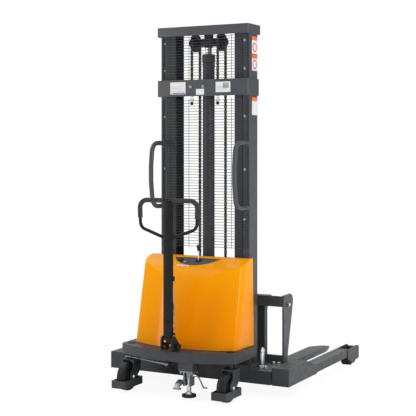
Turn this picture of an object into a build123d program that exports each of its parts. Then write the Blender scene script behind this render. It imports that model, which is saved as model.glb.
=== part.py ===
from build123d import *
import math
import os

os.makedirs("parts", exist_ok=True)

# Semi-electric straddle stacker.  Millimetres, +X operator's right, +Y towards the fork tips, +Z up.
# Working frame: y = 0 is the rear face of the mast beams, z = 0 the floor, x = 0 the centre plane.

# ---- driving dimensions -------------------------------------------------------------------------
MAST_TOP = 2080          # lowered height of the mast
MAST_REAR = 35           # rear face of the mast channels
MAST_FRONT = 143         # front face of the mast channels
OUT_X = 290              # outer face of the outer channels
IN_X = 246               # outer face of the inner channels
CHAIN_X = 85             # the two lift chains
SPROCKET_Y = 89          # middle of the channels' depth
SPROCKET_Z = 1988
SPROCKET_R = 50          # pitch radius
STROKE = 1460            # travel of the lift cylinder
PLATE_TOP = 260          # top of the base plate
PLATE_DEPTH = 55         # height of its skirt
COVER_X = 330            # half width of the body cover
CASTER_X = 315           # caster swivel axes
CASTER_Y = -250
TRAIL = 54               # wheel centre behind the swivel axis
WHEEL_R = 80
STEER_Y = -350           # steering axis of the tiller
TILT_Y = -385            # tilt pin of the tiller
TILT_Z = 318
ARM = (-11.5, -36.2)     # drag-link arm: from the tiller and left caster axes to its pins
TIE = (0, 38)            # tie-rod arm: from each caster axis to its pin
LEG_IN = 475             # inner face of a leg heel
LEG_OUT = 578            # outer face of a leg
SLEEVE_OUT = 468         # outer end of the sleeves in the base frame
ROLLER_X = 539           # load roller
ROLLER_Y = 948
ROLLER_R = 38
FORK_X = (205, 305)      # right fork, inner and outer side
FORK_TIP = 1320
CARRIAGE_Y = 188         # rear face of the carriage bars
SHAFT_Y = 287            # fork shaft
SHAFT_Z = 478
LOCK_X = 99              # floor lock
LOCK_Y = -330
REAR = -410              # rearmost point of the truck
Y_CENTRE = (REAR + FORK_TIP) / 2


# ---- helpers ------------------------------------------------------------------------------------
def block(x0, x1, y0, y1, z0, z1):
    """A box between two corners."""
    return Pos((x0 + x1) / 2, (y0 + y1) / 2, (z0 + z1) / 2) * Box(abs(x1 - x0), abs(y1 - y0), abs(z1 - z0))


def drum(axis, centre, r, length):
    """A cylinder along X, Y or Z round its centre."""
    turn = {"X": Rot(0, 90, 0), "Y": Rot(90, 0, 0), "Z": Rot(0, 0, 0)}[axis]
    return Pos(*centre) * turn * Cylinder(r, length)


def hexagon(axis, centre, flats, length):
    """A hexagonal prism along an axis round its centre."""
    turn = {"X": Rot(0, 90, 0), "Y": Rot(90, 0, 0), "Z": Rot(0, 0, 0)}[axis]
    sketch = RegularPolygon(flats / math.sqrt(3), 6)
    return Pos(*centre) * turn * Pos(0, 0, -length / 2) * extrude(sketch, length)


def plan(points, z0, z1):
    """A polygon in XY raised from z0 to z1."""
    face = make_face(Polyline(*points, close=True))
    return Pos(0, 0, z0) * extrude(face, z1 - z0, dir=(0, 0, 1))


def side(points, x0, x1):
    """A polygon given in (y, z) stretched from x0 to x1."""
    face = make_face(Polyline(*[(0, y, z) for y, z in points], close=True))
    return Pos(x0, 0, 0) * extrude(face, x1 - x0, dir=(1, 0, 0))


def rod(points, r, bend=None):
    """A round bar along a path of straight runs with bends."""
    path = FilletPolyline(*points, radius=bend) if bend else Polyline(*points)
    start = Plane(origin=path @ 0, z_dir=path % 0)
    return sweep(start * Circle(r), path=path)


def mirrored(shape):
    """The same piece on the other side of the truck."""
    return mirror(shape, about=Plane.YZ)


def save(name, shape):
    """Move a piece from the working frame to the shared frame and write it."""
    export_step(Pos(0, -Y_CENTRE, 0) * shape, f"parts/{name}.step")


def both(shape):
    """A piece and its mirror image in one group."""
    return Compound(children=[shape, mirrored(shape)])


# ---- outer mast ---------------------------------------------------------------------------------
channel = block(OUT_X - 42, OUT_X, MAST_REAR, MAST_FRONT, 60, 2072)
channel -= block(OUT_X - 43, OUT_X - 8, MAST_REAR + 10, MAST_FRONT - 10, 59, 2073)
save("outer_mast_right", channel)
save("outer_mast_left", mirrored(channel))


def mast_beam(half, z0, z1, front, wall):
    """A bent plate: straight across the rear of the mast, its ends turned forward along the columns."""
    outer = block(-half, half, 0, front, z0, z1)
    outer = fillet(outer.edges().filter_by(Axis.Z).sort_by(Axis.Y)[:2], 14)
    inner = block(-half + wall, half - wall, wall, front + 1, z0 - 1, z1 + 1)
    inner = fillet(inner.edges().filter_by(Axis.Z).sort_by(Axis.Y)[:2], 6)
    return outer - inner


top_beam = mast_beam(300, 2025, MAST_TOP, 160, 10)
for s in (-1, 1):
    top_beam += block(s * 262, s * 292, 9, MAST_REAR, 2030, 2070)
top_beam += block(-292, 292, MAST_FRONT, 153, 2035, 2072)
top_beam -= block(-250, 250, MAST_FRONT - 1, 154, 2034, 2073)
save("mast_top_beam", top_beam)

mid_beam = mast_beam(299, 1673, 1769, MAST_FRONT, 9)
for s in (-1, 1):
    mid_beam += block(s * 262, s * 292, 8, MAST_REAR, 1690, 1750)
    shelf = block(s * (CHAIN_X - 26), s * (CHAIN_X + 26), 8, 56, 1690, 1702)
    shelf -= drum("Z", (s * CHAIN_X, 39, 1696), 7.5, 20)
    mid_beam += shelf
save("mast_mid_beam", mid_beam)

# The chain anchors: a threaded eye through each shelf, a nut above and a rubber buffer below.
rear_y = SPROCKET_Y - SPROCKET_R
anchor = drum("Z", (CHAIN_X, rear_y, 1688), 7, 60)
anchor += hexagon("Z", (CHAIN_X, rear_y, 1683), 22, 14)
anchor += Pos(CHAIN_X, rear_y, 1650) * Rot(90, 0, 0) * Torus(9, 4)
anchor += drum("Z", (CHAIN_X, rear_y, 1632), 9, 18)
anchor += block(CHAIN_X - 8, CHAIN_X + 8, rear_y - 5, rear_y + 5, 1709, 1726)
anchor += hexagon("Z", (CHAIN_X, rear_y, 1707), 22, 10)
save("chain_anchors", both(anchor))

# ---- base frame ---------------------------------------------------------------------------------
frame = block(-352, 352, -68, 30, 60, 157)
for s in (-1, 1):
    frame += block(s * 290, s * SLEEVE_OUT, -68, 160, 60, 135)
    frame -= block(s * 302, s * (SLEEVE_OUT + 1), -62, 154, 66, 129)
frame -= block(-290, 290, -62, 24, 66, 151)
frame += block(-64, 64, 30, 132, 60, 72)
save("base_frame", frame)

clamp = hexagon("Z", (371, 12, 141), 19, 12) + drum("Z", (371, 12, 136), 13, 2)
clamp += Pos(31, 0, 0) * clamp
front_pair = Pos(25, 124, 0) * clamp
stud = drum("Z", (364, 48, 174), 13.5, 78) + drum("Z", (364, 48, 180), 8, 90)
stud += hexagon("Z", (364, 48, 228), 24, 16) + drum("Z", (364, 48, 239), 7, 8)
save("leg_clamp_bolts", Compound(children=[clamp, front_pair, stud,
                                           mirrored(clamp), mirrored(front_pair), mirrored(stud)]))

# ---- base plate with skirt, caster bearings, steering bearing and floor-lock bracket ------------
def plate_outline(grow):
    """The plan of the base plate: straight sides and front, rear edge bowed outwards."""
    w = 365 + grow
    corner = -285 - grow
    front = -36 + grow
    lines = [
        Line((-w, front), (-w, corner)),
        ThreePointArc((-w, corner), (0, -384 - grow), (w, corner)),
        Line((w, corner), (w, front)),
        Line((w, front), (-w, front)),
    ]
    face = make_face(Curve() + lines)
    return fillet(face.vertices().sort_by(Axis.Y)[:2], 26 + grow)


plate = Pos(0, 0, PLATE_TOP - PLATE_DEPTH) * extrude(plate_outline(0), PLATE_DEPTH, dir=(0, 0, 1))
plate -= Pos(0, 0, PLATE_TOP - PLATE_DEPTH - 1) * extrude(plate_outline(-8), PLATE_DEPTH - 7, dir=(0, 0, 1))
plate += block(-298, 298, -40, MAST_REAR, PLATE_TOP - 8, PLATE_TOP)
for s in (-1, 1):
    plate += block(s * 200, s * 210, -66, 28, 157, PLATE_TOP - 4)
    plate += drum("Z", (s * CASTER_X, CASTER_Y, 231), 30, 50)
    plate -= drum("Z", (s * CASTER_X, CASTER_Y, 226), 18.05, 52)
plate += drum("Z", (0, STEER_Y, 234), 26, 44)
plate -= drum("Z", (0, STEER_Y, 234), 15.05, 90)
plate += block(LOCK_X - 45, LOCK_X + 45, -372, -302, 158, 207)
plate += block(LOCK_X - 45, LOCK_X + 45, -310, -302, 207, 254)
plate -= drum("Z", (LOCK_X, LOCK_Y, 180), 13.3, 120)
save("base_plate", plate)

cap = drum("Z", (CASTER_X, CASTER_Y, PLATE_TOP + 3), 24, 6)
cap = fillet(cap.edges().group_by(Axis.Z)[-1], 2.5)
save("plate_caps", both(cap))

# ---- grab handles -------------------------------------------------------------------------------
handle = rod([(270, MAST_REAR, 1400), (270, -112, 1400), (270, -112, 1030), (270, MAST_REAR, 1030)], 14, 62)
for z in (1400, 1030):
    handle += drum("Y", (270, MAST_REAR - 3, z), 19, 6)
save("grab_handle_right", handle)
save("grab_handle_left", mirrored(handle))

# ---- wire mesh guards ---------------------------------------------------------------------------
GUARD_Y = 22


def guard(z0, z1, pitch):
    """Welded wire mesh: close level wires, four uprights and edge strips, cut out round the handles' feet."""
    wires = []
    feet = [z for z in (1030, 1400) if z0 < z < z1]
    count = int((z1 - z0) / pitch)
    for i in range(count + 1):
        z = z0 + i * pitch
        length = 494 if any(abs(z - foot) < 24 for foot in feet) else 552
        wires.append(drum("X", (0, GUARD_Y, z), 1.5, length))
    for x in (-236, -97, 42, 181):
        wires.append(drum("Z", (x, GUARD_Y + 3, (z0 + z1) / 2), 1.5, z1 - z0 + 10))
    ends = [z0 - 3] + [z + d for z in feet for d in (-24, 24)] + [z1 + 3]
    for x in (-274.5, 274.5):
        for low, high in zip(ends[::2], ends[1::2]):
            wires.append(block(x - 1.5, x + 1.5, GUARD_Y + 1.5, MAST_REAR, low, high))
    return Compound(children=wires)


save("mesh_guard_lower", guard(800, 1656, 16))
save("mesh_guard_upper", guard(1778, 2018, 16))

bolts = []
for x, z in ((262, 1988), (262, 1827), (262, 1554), (262, 1250), (262, 964),
             (-262, 1988), (-262, 1827), (-262, 1554), (-262, 1250), (-262, 964)):
    bolts.append(drum("Y", (x, MAST_REAR - 1, z), 10, 2) + hexagon("Y", (x, MAST_REAR - 5, z), 14, 8))
save("guard_bolts", Compound(children=bolts))

# ---- lift cylinder, rod and crosshead -----------------------------------------------------------
barrel = drum("Z", (0, SPROCKET_Y, (72 + 1870) / 2), 35, 1870 - 72)
barrel += drum("Z", (0, SPROCKET_Y, 1885), 38.5, 72)
barrel -= drum("Z", (0, SPROCKET_Y, (90 + 1880) / 2), 28, 1790)
barrel -= drum("Z", (0, SPROCKET_Y, 1900), 18.05, 60)
save("lift_cylinder", barrel)

ram = drum("Z", (0, SPROCKET_Y, (320 + 1965) / 2), 18, 1645)
ram += drum("Z", (0, SPROCKET_Y, 320), 27.95, 40)
save("piston_rod", ram)

crosshead = block(-62, 62, 70, 110, 1965, 2012)
crosshead += drum("X", (0, SPROCKET_Y, SPROCKET_Z), 12, 244)
for s in (-1, 1):
    crosshead += drum("X", (s * 109, SPROCKET_Y, SPROCKET_Z), 22, 22)
    crosshead += drum("X", (s * 68, SPROCKET_Y, SPROCKET_Z), 22, 12)
crosshead += block(-26, 26, 80, 100, 2010, 2050)
save("crosshead", crosshead)

wheel = drum("X", (CHAIN_X, SPROCKET_Y, SPROCKET_Z), 53, 20)
wheel -= drum("X", (CHAIN_X, SPROCKET_Y, SPROCKET_Z), 54, 12) - drum("X", (CHAIN_X, SPROCKET_Y, SPROCKET_Z), 44, 12)
wheel -= drum("X", (CHAIN_X, SPROCKET_Y, SPROCKET_Z), 12.06, 30)
save("sprocket_right", wheel)
save("sprocket_left", mirrored(wheel))

# ---- lift chains --------------------------------------------------------------------------------
CHAIN_T = 10
CHAIN_W = 11


def chain_run(y, z0, z1):
    """A straight run of leaf chain."""
    return block(CHAIN_X - CHAIN_W / 2, CHAIN_X + CHAIN_W / 2, y - CHAIN_T / 2, y + CHAIN_T / 2, z0, z1)


wrap = drum("X", (CHAIN_X, SPROCKET_Y, SPROCKET_Z), SPROCKET_R + CHAIN_T / 2, CHAIN_W)
wrap -= drum("X", (CHAIN_X, SPROCKET_Y, SPROCKET_Z), SPROCKET_R - CHAIN_T / 2, CHAIN_W + 1)
wrap -= block(0, 200, 0, 200, SPROCKET_Z - 100, SPROCKET_Z)
save("chain_wraps", both(wrap))
save("chain_rear_strands", both(chain_run(SPROCKET_Y - SPROCKET_R, 1726, SPROCKET_Z)))
save("chain_front_strands", both(chain_run(SPROCKET_Y + SPROCKET_R, 372, SPROCKET_Z)))

# ---- inner mast ---------------------------------------------------------------------------------
inner = block(IN_X - 51, IN_X, MAST_REAR, MAST_FRONT, 75, 2050)
inner -= block(IN_X - 52, IN_X - 8, MAST_REAR + 10, MAST_FRONT - 10, 74, 2051)
save("inner_mast_right", inner + drum("X", (IN_X + 15, SPROCKET_Y, 132), 10, 34))
save("inner_mast_left", mirrored(inner + drum("X", (IN_X + 15, SPROCKET_Y, 132), 10, 34)))

tie = block(-IN_X, IN_X, 46, 132, 2050, 2070)
tie -= block(-IN_X + 30, IN_X - 30, 52, 126, 2054, 2066)
save("inner_top_beam", tie)
save("inner_bottom_beam", block(-195, 195, 36, 48, 75, 135))

guide = drum("X", (265, SPROCKET_Y, 132), 43.5, 28) - drum("X", (265, SPROCKET_Y, 132), 10.06, 40)
guide = chamfer(guide.edges().filter_by(GeomType.CIRCLE).filter_by(lambda e: e.radius > 40), 2)
save("inner_roller_right", guide)
save("inner_roller_left", mirrored(guide))

# ---- carriage -----------------------------------------------------------------------------------
carriage = block(-425, 425, CARRIAGE_Y, CARRIAGE_Y + 18, 456, 516)
carriage += block(-425, 425, CARRIAGE_Y, CARRIAGE_Y + 18, 126, 176)
end_plate = side([(188, 112), (188, 522), (292, 522), (318, 506), (326, 478), (322, 462), (242, 150), (236, 112)],
                 425, 435)
end_plate = fillet(end_plate.edges().filter_by(Axis.X).sort_by(Axis.Y)[-3:], 12)
for s in (-1, 1):
    plate_s = block(s * 180, s * 192, 62, CARRIAGE_Y, 126, 516)
    plate_s += block(s * 192, s * 180, CARRIAGE_Y, CARRIAGE_Y + 18, 126, 516)
    for z in (176, 452):
        plate_s += drum("X", (s * 205, SPROCKET_Y, z), 10, 60)
    carriage += plate_s
    shelf = block(s * (CHAIN_X - 22), s * (CHAIN_X + 22), 128, CARRIAGE_Y, 346, 358)
    shelf += block(s * (CHAIN_X - 22), s * (CHAIN_X + 22), CARRIAGE_Y - 10, CARRIAGE_Y, 170, 460)
    shelf += drum("Z", (s * CHAIN_X, SPROCKET_Y + SPROCKET_R, 362), 7, 20)
    carriage += shelf
carriage += end_plate + mirrored(end_plate)
carriage -= drum("X", (0, SHAFT_Y, SHAFT_Z), 17.6, 900)
save("carriage_frame", carriage)

shaft = drum("X", (0, SHAFT_Y, SHAFT_Z), 17.5, 870)
for s in (-1, 1):
    shaft += hexagon("X", (s * 440, SHAFT_Y - 40, SHAFT_Z - 14), 17, 10)
    shaft += block(s * 435, s * 439, SHAFT_Y - 56, SHAFT_Y + 6, SHAFT_Z - 26, SHAFT_Z - 4)
save("fork_shaft", shaft)

for name, s, z in (("lower_left", -1, 176), ("lower_right", 1, 176),
                   ("upper_left", -1, 452), ("upper_right", 1, 452)):
    roll = drum("X", (s * 215, SPROCKET_Y, z), 43.5, 36) - drum("X", (s * 215, SPROCKET_Y, z), 10.06, 50)
    roll = chamfer(roll.edges().filter_by(GeomType.CIRCLE).filter_by(lambda e: e.radius > 40), 2)
    save("carriage_roller_" + name, roll)

# ---- forks --------------------------------------------------------------------------------------
profile = [(208, 26), (214, 20), (1290, 20), (FORK_TIP - 4, 26), (FORK_TIP, 31), (FORK_TIP - 6, 35),
           (1120, 55), (266, 55), (252, 60), (248, 76), (248, 430), (256, 452), (258, 505),
           (244, 512), (230, 500), (208, 440)]
fork = side(profile, *FORK_X)
eye = drum("X", (sum(FORK_X) / 2, SHAFT_Y, SHAFT_Z), 31, 100)
eye += side([(230, 440), (230, 512), (SHAFT_Y, 508), (SHAFT_Y, 447), (253, 443)], *FORK_X)
fork += eye
fork -= drum("X", (sum(FORK_X) / 2, SHAFT_Y, SHAFT_Z), 17.6, 120)
taper = plan([(FORK_X[0] - 1, 1180), (FORK_X[0] + 30, FORK_TIP + 1), (FORK_X[0] - 1, FORK_TIP + 1)], 0, 70)
taper += plan([(FORK_X[1] + 1, 1180), (FORK_X[1] - 30, FORK_TIP + 1), (FORK_X[1] + 1, FORK_TIP + 1)], 0, 70)
fork -= taper
save("fork_right", fork)
save("fork_left", mirrored(fork))

# ---- straddle legs and load rollers -------------------------------------------------------------
leg = side([(-68, 60), (-68, 157), (205, 157), (335, 112), (344, 112), (344, 60)], LEG_IN, LEG_OUT)
leg += block(LEG_IN + 22, LEG_OUT - 4, 340, 872, 64, 112)
leg += block(330, LEG_IN + 2, -60, 152, 68, 127) - block(329, LEG_IN, -54, 146, 74, 121)
cheek = side([(866, 64), (866, 112), (1046, 112), (1070, 96), (1070, 30), (1046, 22), (1000, 22),
              (962, 12), (880, 46), (870, 64)], LEG_IN + 22, LEG_IN + 30)
leg += cheek
leg += side([(861, 56), (861, 98), (876, 112), (1004, 112), (1019, 98), (1019, 46), (1000, 24),
             (962, 11), (876, 44)], LEG_OUT - 8, LEG_OUT)
leg += side([(1010, 26), (1010, 112), (1046, 112), (1070, 96), (1070, 30), (1046, 24)],
            LEG_OUT - 12, LEG_OUT - 4)
leg += block(LEG_IN + 22, LEG_OUT - 4, 1040, 1070, 30, 100)
leg += drum("X", (ROLLER_X - 1.5, ROLLER_Y, ROLLER_R), 9, 81)
save("leg_right", leg)
save("leg_left", mirrored(leg))

roller = drum("X", (ROLLER_X - 1.5, ROLLER_Y, ROLLER_R), ROLLER_R, 58)
roller = fillet(roller.edges().filter_by(GeomType.CIRCLE), 4)
roller -= drum("X", (ROLLER_X - 1.5, ROLLER_Y, ROLLER_R), 9.06, 70)
save("load_roller_right", roller)
save("load_roller_left", mirrored(roller))

# ---- casters ------------------------------------------------------------------------------------
wheel_y = CASTER_Y - TRAIL


def caster_fork(x, arms):
    """Crown, stem, two cheeks, axle, ring guard and steering arms of one caster, all welded."""
    fork_s = block(x - 38, x + 38, CASTER_Y - 44, CASTER_Y + 34, 166, 174)
    cheek_s = side([(CASTER_Y - 44, 174), (CASTER_Y + 34, 174), (CASTER_Y + 30, 110), (CASTER_Y - 24, 62),
                    (wheel_y + 12, 52), (wheel_y - 12, 54), (wheel_y - 26, 74), (wheel_y - 24, 100),
                    (CASTER_Y - 50, 130)], x - 38, x - 32)
    fork_s += cheek_s + Pos(70, 0, 0) * cheek_s
    ring_s = block(x - 45, x + 45, -398, -212, 25, 68) - block(x - 38, x + 38, -391, -219, 24, 69)
    fork_s += ring_s
    fork_s += drum("X", (x, wheel_y, WHEEL_R), 8, 76)
    fork_s += hexagon("X", (x + 42, wheel_y, WHEEL_R), 17, 8) + hexagon("X", (x - 42, wheel_y, WHEEL_R), 17, 8)
    fork_s += drum("Z", (x, CASTER_Y, 190), 12, 34) + drum("Z", (x, CASTER_Y, 226), 18, 40)
    for dx, dy in arms:
        fork_s += drum("Z", (x + dx, CASTER_Y + dy, 178), 12, 8)
        fork_s += drum("Z", (x + dx, CASTER_Y + dy, 186), 4.9, 20)
    return fork_s


def caster_wheel(x):
    """Rubber-tyred wheel with a bore for its axle."""
    tyre = drum("X", (x, wheel_y, WHEEL_R), WHEEL_R, 50)
    tyre = fillet(tyre.edges().filter_by(GeomType.CIRCLE), 9)
    for s in (-1, 1):
        dish = drum("X", (x + s * 24, wheel_y, WHEEL_R), 54, 8) - drum("X", (x + s * 24, wheel_y, WHEEL_R), 20, 8)
        tyre -= dish
    tyre += drum("X", (x, wheel_y, WHEEL_R), 18, 60)
    return tyre - drum("X", (x, wheel_y, WHEEL_R), 8.06, 70)


for name, s in (("left", -1), ("right", 1)):
    save("caster_fork_" + name, caster_fork(s * CASTER_X, (ARM, TIE) if s < 0 else (TIE,)))
    save("caster_wheel_" + name, caster_wheel(s * CASTER_X))

# ---- steering: head, drag link and tie rod ------------------------------------------------------
head = drum("Z", (0, STEER_Y, 269), 34, 10) + drum("Z", (0, STEER_Y, 233), 15, 72)
head += block(-36, 36, -410, -316, 264, 274)
for s in (-1, 1):
    cheek_h = side([(-410, 274), (-410, 322), (-398, 344), (-372, 344), (-330, 300), (-322, 274)], s * 29, s * 36)
    head += cheek_h
head += drum("X", (0, TILT_Y, TILT_Z), 8, 92)
head_px, head_py = ARM[0], STEER_Y + ARM[1]
head += plan([(-18, STEER_Y + 12), (16, STEER_Y + 12), (6, head_py - 8), (-24, head_py - 4)], 196, 204)
head += drum("Z", (head_px, head_py, 200), 12, 8)
head += drum("Z", (head_px, head_py, 186), 4.9, 28)
head += hexagon("Z", (head_px, head_py, 175), 16, 9)
save("steer_head", head)


def link(p, q, z, r, eye_r):
    """A round link with an eye at each end."""
    bar = rod([(p[0], p[1], z), (q[0], q[1], z)], r)
    for end in (p, q):
        bar += drum("Z", (end[0], end[1], z), eye_r, 10)
    for end in (p, q):
        bar -= drum("Z", (end[0], end[1], z), 5.1, 30)
    return bar


drag_pin = (-CASTER_X + ARM[0], CASTER_Y + ARM[1])
tie_y = CASTER_Y + TIE[1]
save("drag_link", link((head_px, head_py), drag_pin, 189, 4.5, 10))
save("cross_tie_rod", link((-CASTER_X, tie_y), (CASTER_X, tie_y), 189, 4.5, 10))

# ---- tiller -------------------------------------------------------------------------------------
GRIP_Z = 1085
tiller = block(-26, 26, TILT_Y - 12, TILT_Y + 12, 345, GRIP_Z)
tiller += block(-24, 24, TILT_Y - 12, TILT_Y + 12, TILT_Z, 350)
tiller += drum("X", (0, TILT_Y, TILT_Z), 18, 56)
loop_path = [(0, TILT_Y, GRIP_Z), (-182, TILT_Y, GRIP_Z), (-177, TILT_Y, 934), (0, TILT_Y, 872),
             (177, TILT_Y, 934), (182, TILT_Y, GRIP_Z), (0, TILT_Y, GRIP_Z)]
tiller += rod(loop_path[:4], 9, 28) + rod(list(reversed(loop_path))[:4], 9, 28)
tiller -= drum("X", (0, TILT_Y, TILT_Z), 8.06, 80)
save("tiller", tiller)

grip = rod([(0, TILT_Y, GRIP_Z), (-182, TILT_Y, GRIP_Z), (-179, TILT_Y, 990)], 13.5, 28)
grip += rod([(0, TILT_Y, GRIP_Z), (182, TILT_Y, GRIP_Z), (179, TILT_Y, 990)], 13.5, 28)
grip -= rod([(0, TILT_Y, GRIP_Z), (-182, TILT_Y, GRIP_Z), (-177, TILT_Y, 934)], 9.3, 28)
grip -= rod([(0, TILT_Y, GRIP_Z), (182, TILT_Y, GRIP_Z), (177, TILT_Y, 934)], 9.3, 28)
grip -= block(-26.3, 26.3, TILT_Y - 12.3, TILT_Y + 12.3, 1000, GRIP_Z + 0.3)
save("tiller_grip", grip)

# ---- body cover and control panel ---------------------------------------------------------------
def cover_section(half, corner, bow, front):
    """Plan of the cover at one height: flat sides, bowed rear."""
    lines = [
        Line((-half, front), (-half, corner)),
        ThreePointArc((-half, corner), (0, bow), (half, corner)),
        Line((half, corner), (half, front)),
        Line((half, front), (-half, front)),
    ]
    face = make_face(Curve() + lines)
    return fillet(face.vertices().sort_by(Axis.Y)[:2], 38)


def cover_body(grow, top, bottom):
    """The cover as a filled body: lofted sides, then a sloped and rounded shoulder."""
    low = Pos(0, 0, bottom) * cover_section(COVER_X + grow, -200 - grow, -288 - grow, 8)
    high = Pos(0, 0, 760) * cover_section(COVER_X - 6 + grow, -98 - grow, -176 - grow, 8)
    body = loft([low, high])
    roof = make_face(Curve() + [
        Line((0, 20, top), (0, -34, top - 2)),
        Line((0, -34, top - 2), (0, -124, top - 42)),
        ThreePointArc((0, -124, top - 42), (0, -176, top - 82), (0, -206, top - 150)),
        Line((0, -206, top - 150), (0, -420, 200)),
        Line((0, -420, 200), (0, 20, 200)),
        Line((0, 20, 200), (0, 20, top)),
    ])
    roof_solid = Pos(-400, 0, 0) * extrude(roof, 800, dir=(1, 0, 0))
    return body & roof_solid


cover = cover_body(0, 748, 261) - cover_body(-4, 744, 240)
slope = math.degrees(math.atan2(40, 90))
crescent_plane = Plane(origin=(0, -40, 736), x_dir=(1, 0, 0),
                       z_dir=(0, -math.sin(math.radians(slope)), math.cos(math.radians(slope))))


def crescent(grow, thick, lift):
    """A segment of a disc with its straight edge to the mast, on the slope of the shoulder."""
    face = make_face(Curve() + [
        Line((-150 - grow, grow), (150 + grow, grow)),
        ThreePointArc((150 + grow, grow), (0, -88 - grow), (-150 - grow, grow)),
    ])
    return crescent_plane * Pos(0, 0, lift) * extrude(face, thick, dir=(0, 0, 1))


cover -= crescent(0.5, 40, -20)
save("body_cover", cover)
panel = crescent(0, 5, -1)
panel -= crescent_plane * Pos(15, -32, 0) * Box(12, 40, 30)
panel -= crescent_plane * Pos(-60, -45, 0) * Cylinder(9.4, 30)
save("control_panel", panel)

LEVER_Y = -40 - 32 * math.cos(math.radians(slope)) + 6 * math.sin(math.radians(slope))
LEVER_Z = 736 - 32 * math.sin(math.radians(slope)) - 6 * math.cos(math.radians(slope))
lever = drum("X", (15, LEVER_Y, LEVER_Z), 7, 11)
lever += rod([(15, LEVER_Y, LEVER_Z), (15, LEVER_Y + 4, 786)], 4)
lever += drum("Z", (15, LEVER_Y + 4, 800), 12, 36)
save("lift_lever", lever)

key = crescent_plane * Pos(-60, -45, 3) * Cylinder(9, 10)
key += crescent_plane * Pos(-60, -45, 15) * Box(4, 16, 18)
save("key_switch", key)

# ---- battery and hydraulic power unit under the cover -------------------------------------------
battery = block(-285, -45, -160, -26, PLATE_TOP, 450)
for x in (-255, -75):
    battery += drum("Z", (x, -60, 457), 9, 16)
save("battery", battery)

unit = drum("Z", (90, -110, 420), 56, 180) + block(40, 250, -160, -60, PLATE_TOP, 340)
unit += drum("X", (205, -110, 400), 50, 90)
unit += block(170, 240, -140, -80, 330, 400)
save("hydraulic_power_unit", unit)

# ---- rating plates and stickers -----------------------------------------------------------------
plates = [
    block(-208, -106, -1, 0, 1686, 1756),
    block(-36, 16, -1, 0, 1680, 1714),
    block(92, 186, -1, 0, 1692, 1752),
    block(OUT_X, OUT_X + 1, 66, 140, 1815, 2012),
    block(OUT_X, OUT_X + 1, 66, 140, 1560, 1662),
]
save("rating_plates", Compound(children=plates))

# ---- floor lock ---------------------------------------------------------------------------------
lock = block(LOCK_X - 40, LOCK_X + 40, LOCK_Y - 38, LOCK_Y + 26, 150, 158)
lock += drum("Z", (LOCK_X, LOCK_Y, 132), 19, 40)
lock += block(LOCK_X + 14, LOCK_X + 22, LOCK_Y - 30, LOCK_Y + 22, 74, 154)
lock += block(LOCK_X - 22, LOCK_X - 14, LOCK_Y - 30, LOCK_Y + 22, 74, 154)
lock -= drum("Z", (LOCK_X, LOCK_Y, 120), 13.05, 200)
for dx in (-34, 34):
    for dy in (-32, 20):
        lock += hexagon("Z", (LOCK_X + dx, LOCK_Y + dy, 146), 12, 8)
PEDAL_Y = LOCK_Y - 24
PEDAL_Z = 96
RELEASE_Y = LOCK_Y + 1
RELEASE_Z = 130
lock += drum("X", (LOCK_X - 35, PEDAL_Y, PEDAL_Z), 5, 38)
lock += drum("X", (LOCK_X + 24, RELEASE_Y, RELEASE_Z), 4, 20)
save("floor_lock_body", lock)

pedal = drum("X", (LOCK_X - 38, PEDAL_Y, PEDAL_Z), 11, 30)
pedal += side([(PEDAL_Y, PEDAL_Z + 11), (PEDAL_Y - 40, PEDAL_Z - 2), (REAR + 4, PEDAL_Z - 26),
               (REAR + 4, PEDAL_Z - 33), (PEDAL_Y - 34, PEDAL_Z - 18), (PEDAL_Y, PEDAL_Z - 11)],
              LOCK_X - 53, LOCK_X - 23)
pedal += block(LOCK_X - 58, LOCK_X - 16, REAR + 3, REAR + 22, PEDAL_Z - 34, PEDAL_Z - 25)
pedal -= drum("X", (LOCK_X - 38, PEDAL_Y, PEDAL_Z), 5.06, 60)
save("floor_lock_pedal", pedal)

release = drum("X", (LOCK_X + 29, RELEASE_Y, RELEASE_Z), 9, 10)
release += rod([(LOCK_X + 29, RELEASE_Y, RELEASE_Z), (LOCK_X + 39, RELEASE_Y + 4, RELEASE_Z - 2),
                (LOCK_X + 44, -290, 104), (LOCK_X + 48, -246, 52), (LOCK_X + 50, -212, 42)], 4, 6)
release -= drum("X", (LOCK_X + 29, RELEASE_Y, RELEASE_Z), 4.06, 11)
save("floor_lock_release", release)

plunger = drum("Z", (LOCK_X, LOCK_Y, 128), 13, 180)
plunger += drum("Z", (LOCK_X, LOCK_Y, 33), 20, 10)
plunger += drum("Z", (LOCK_X, LOCK_Y, 23), 33, 10)
plunger = plunger + drum("Z", (LOCK_X, LOCK_Y, 19), 40, 14)
save("floor_lock_plunger", plunger)
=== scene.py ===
import math

import bmesh
import bpy
from mathutils import Matrix, Vector


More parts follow.
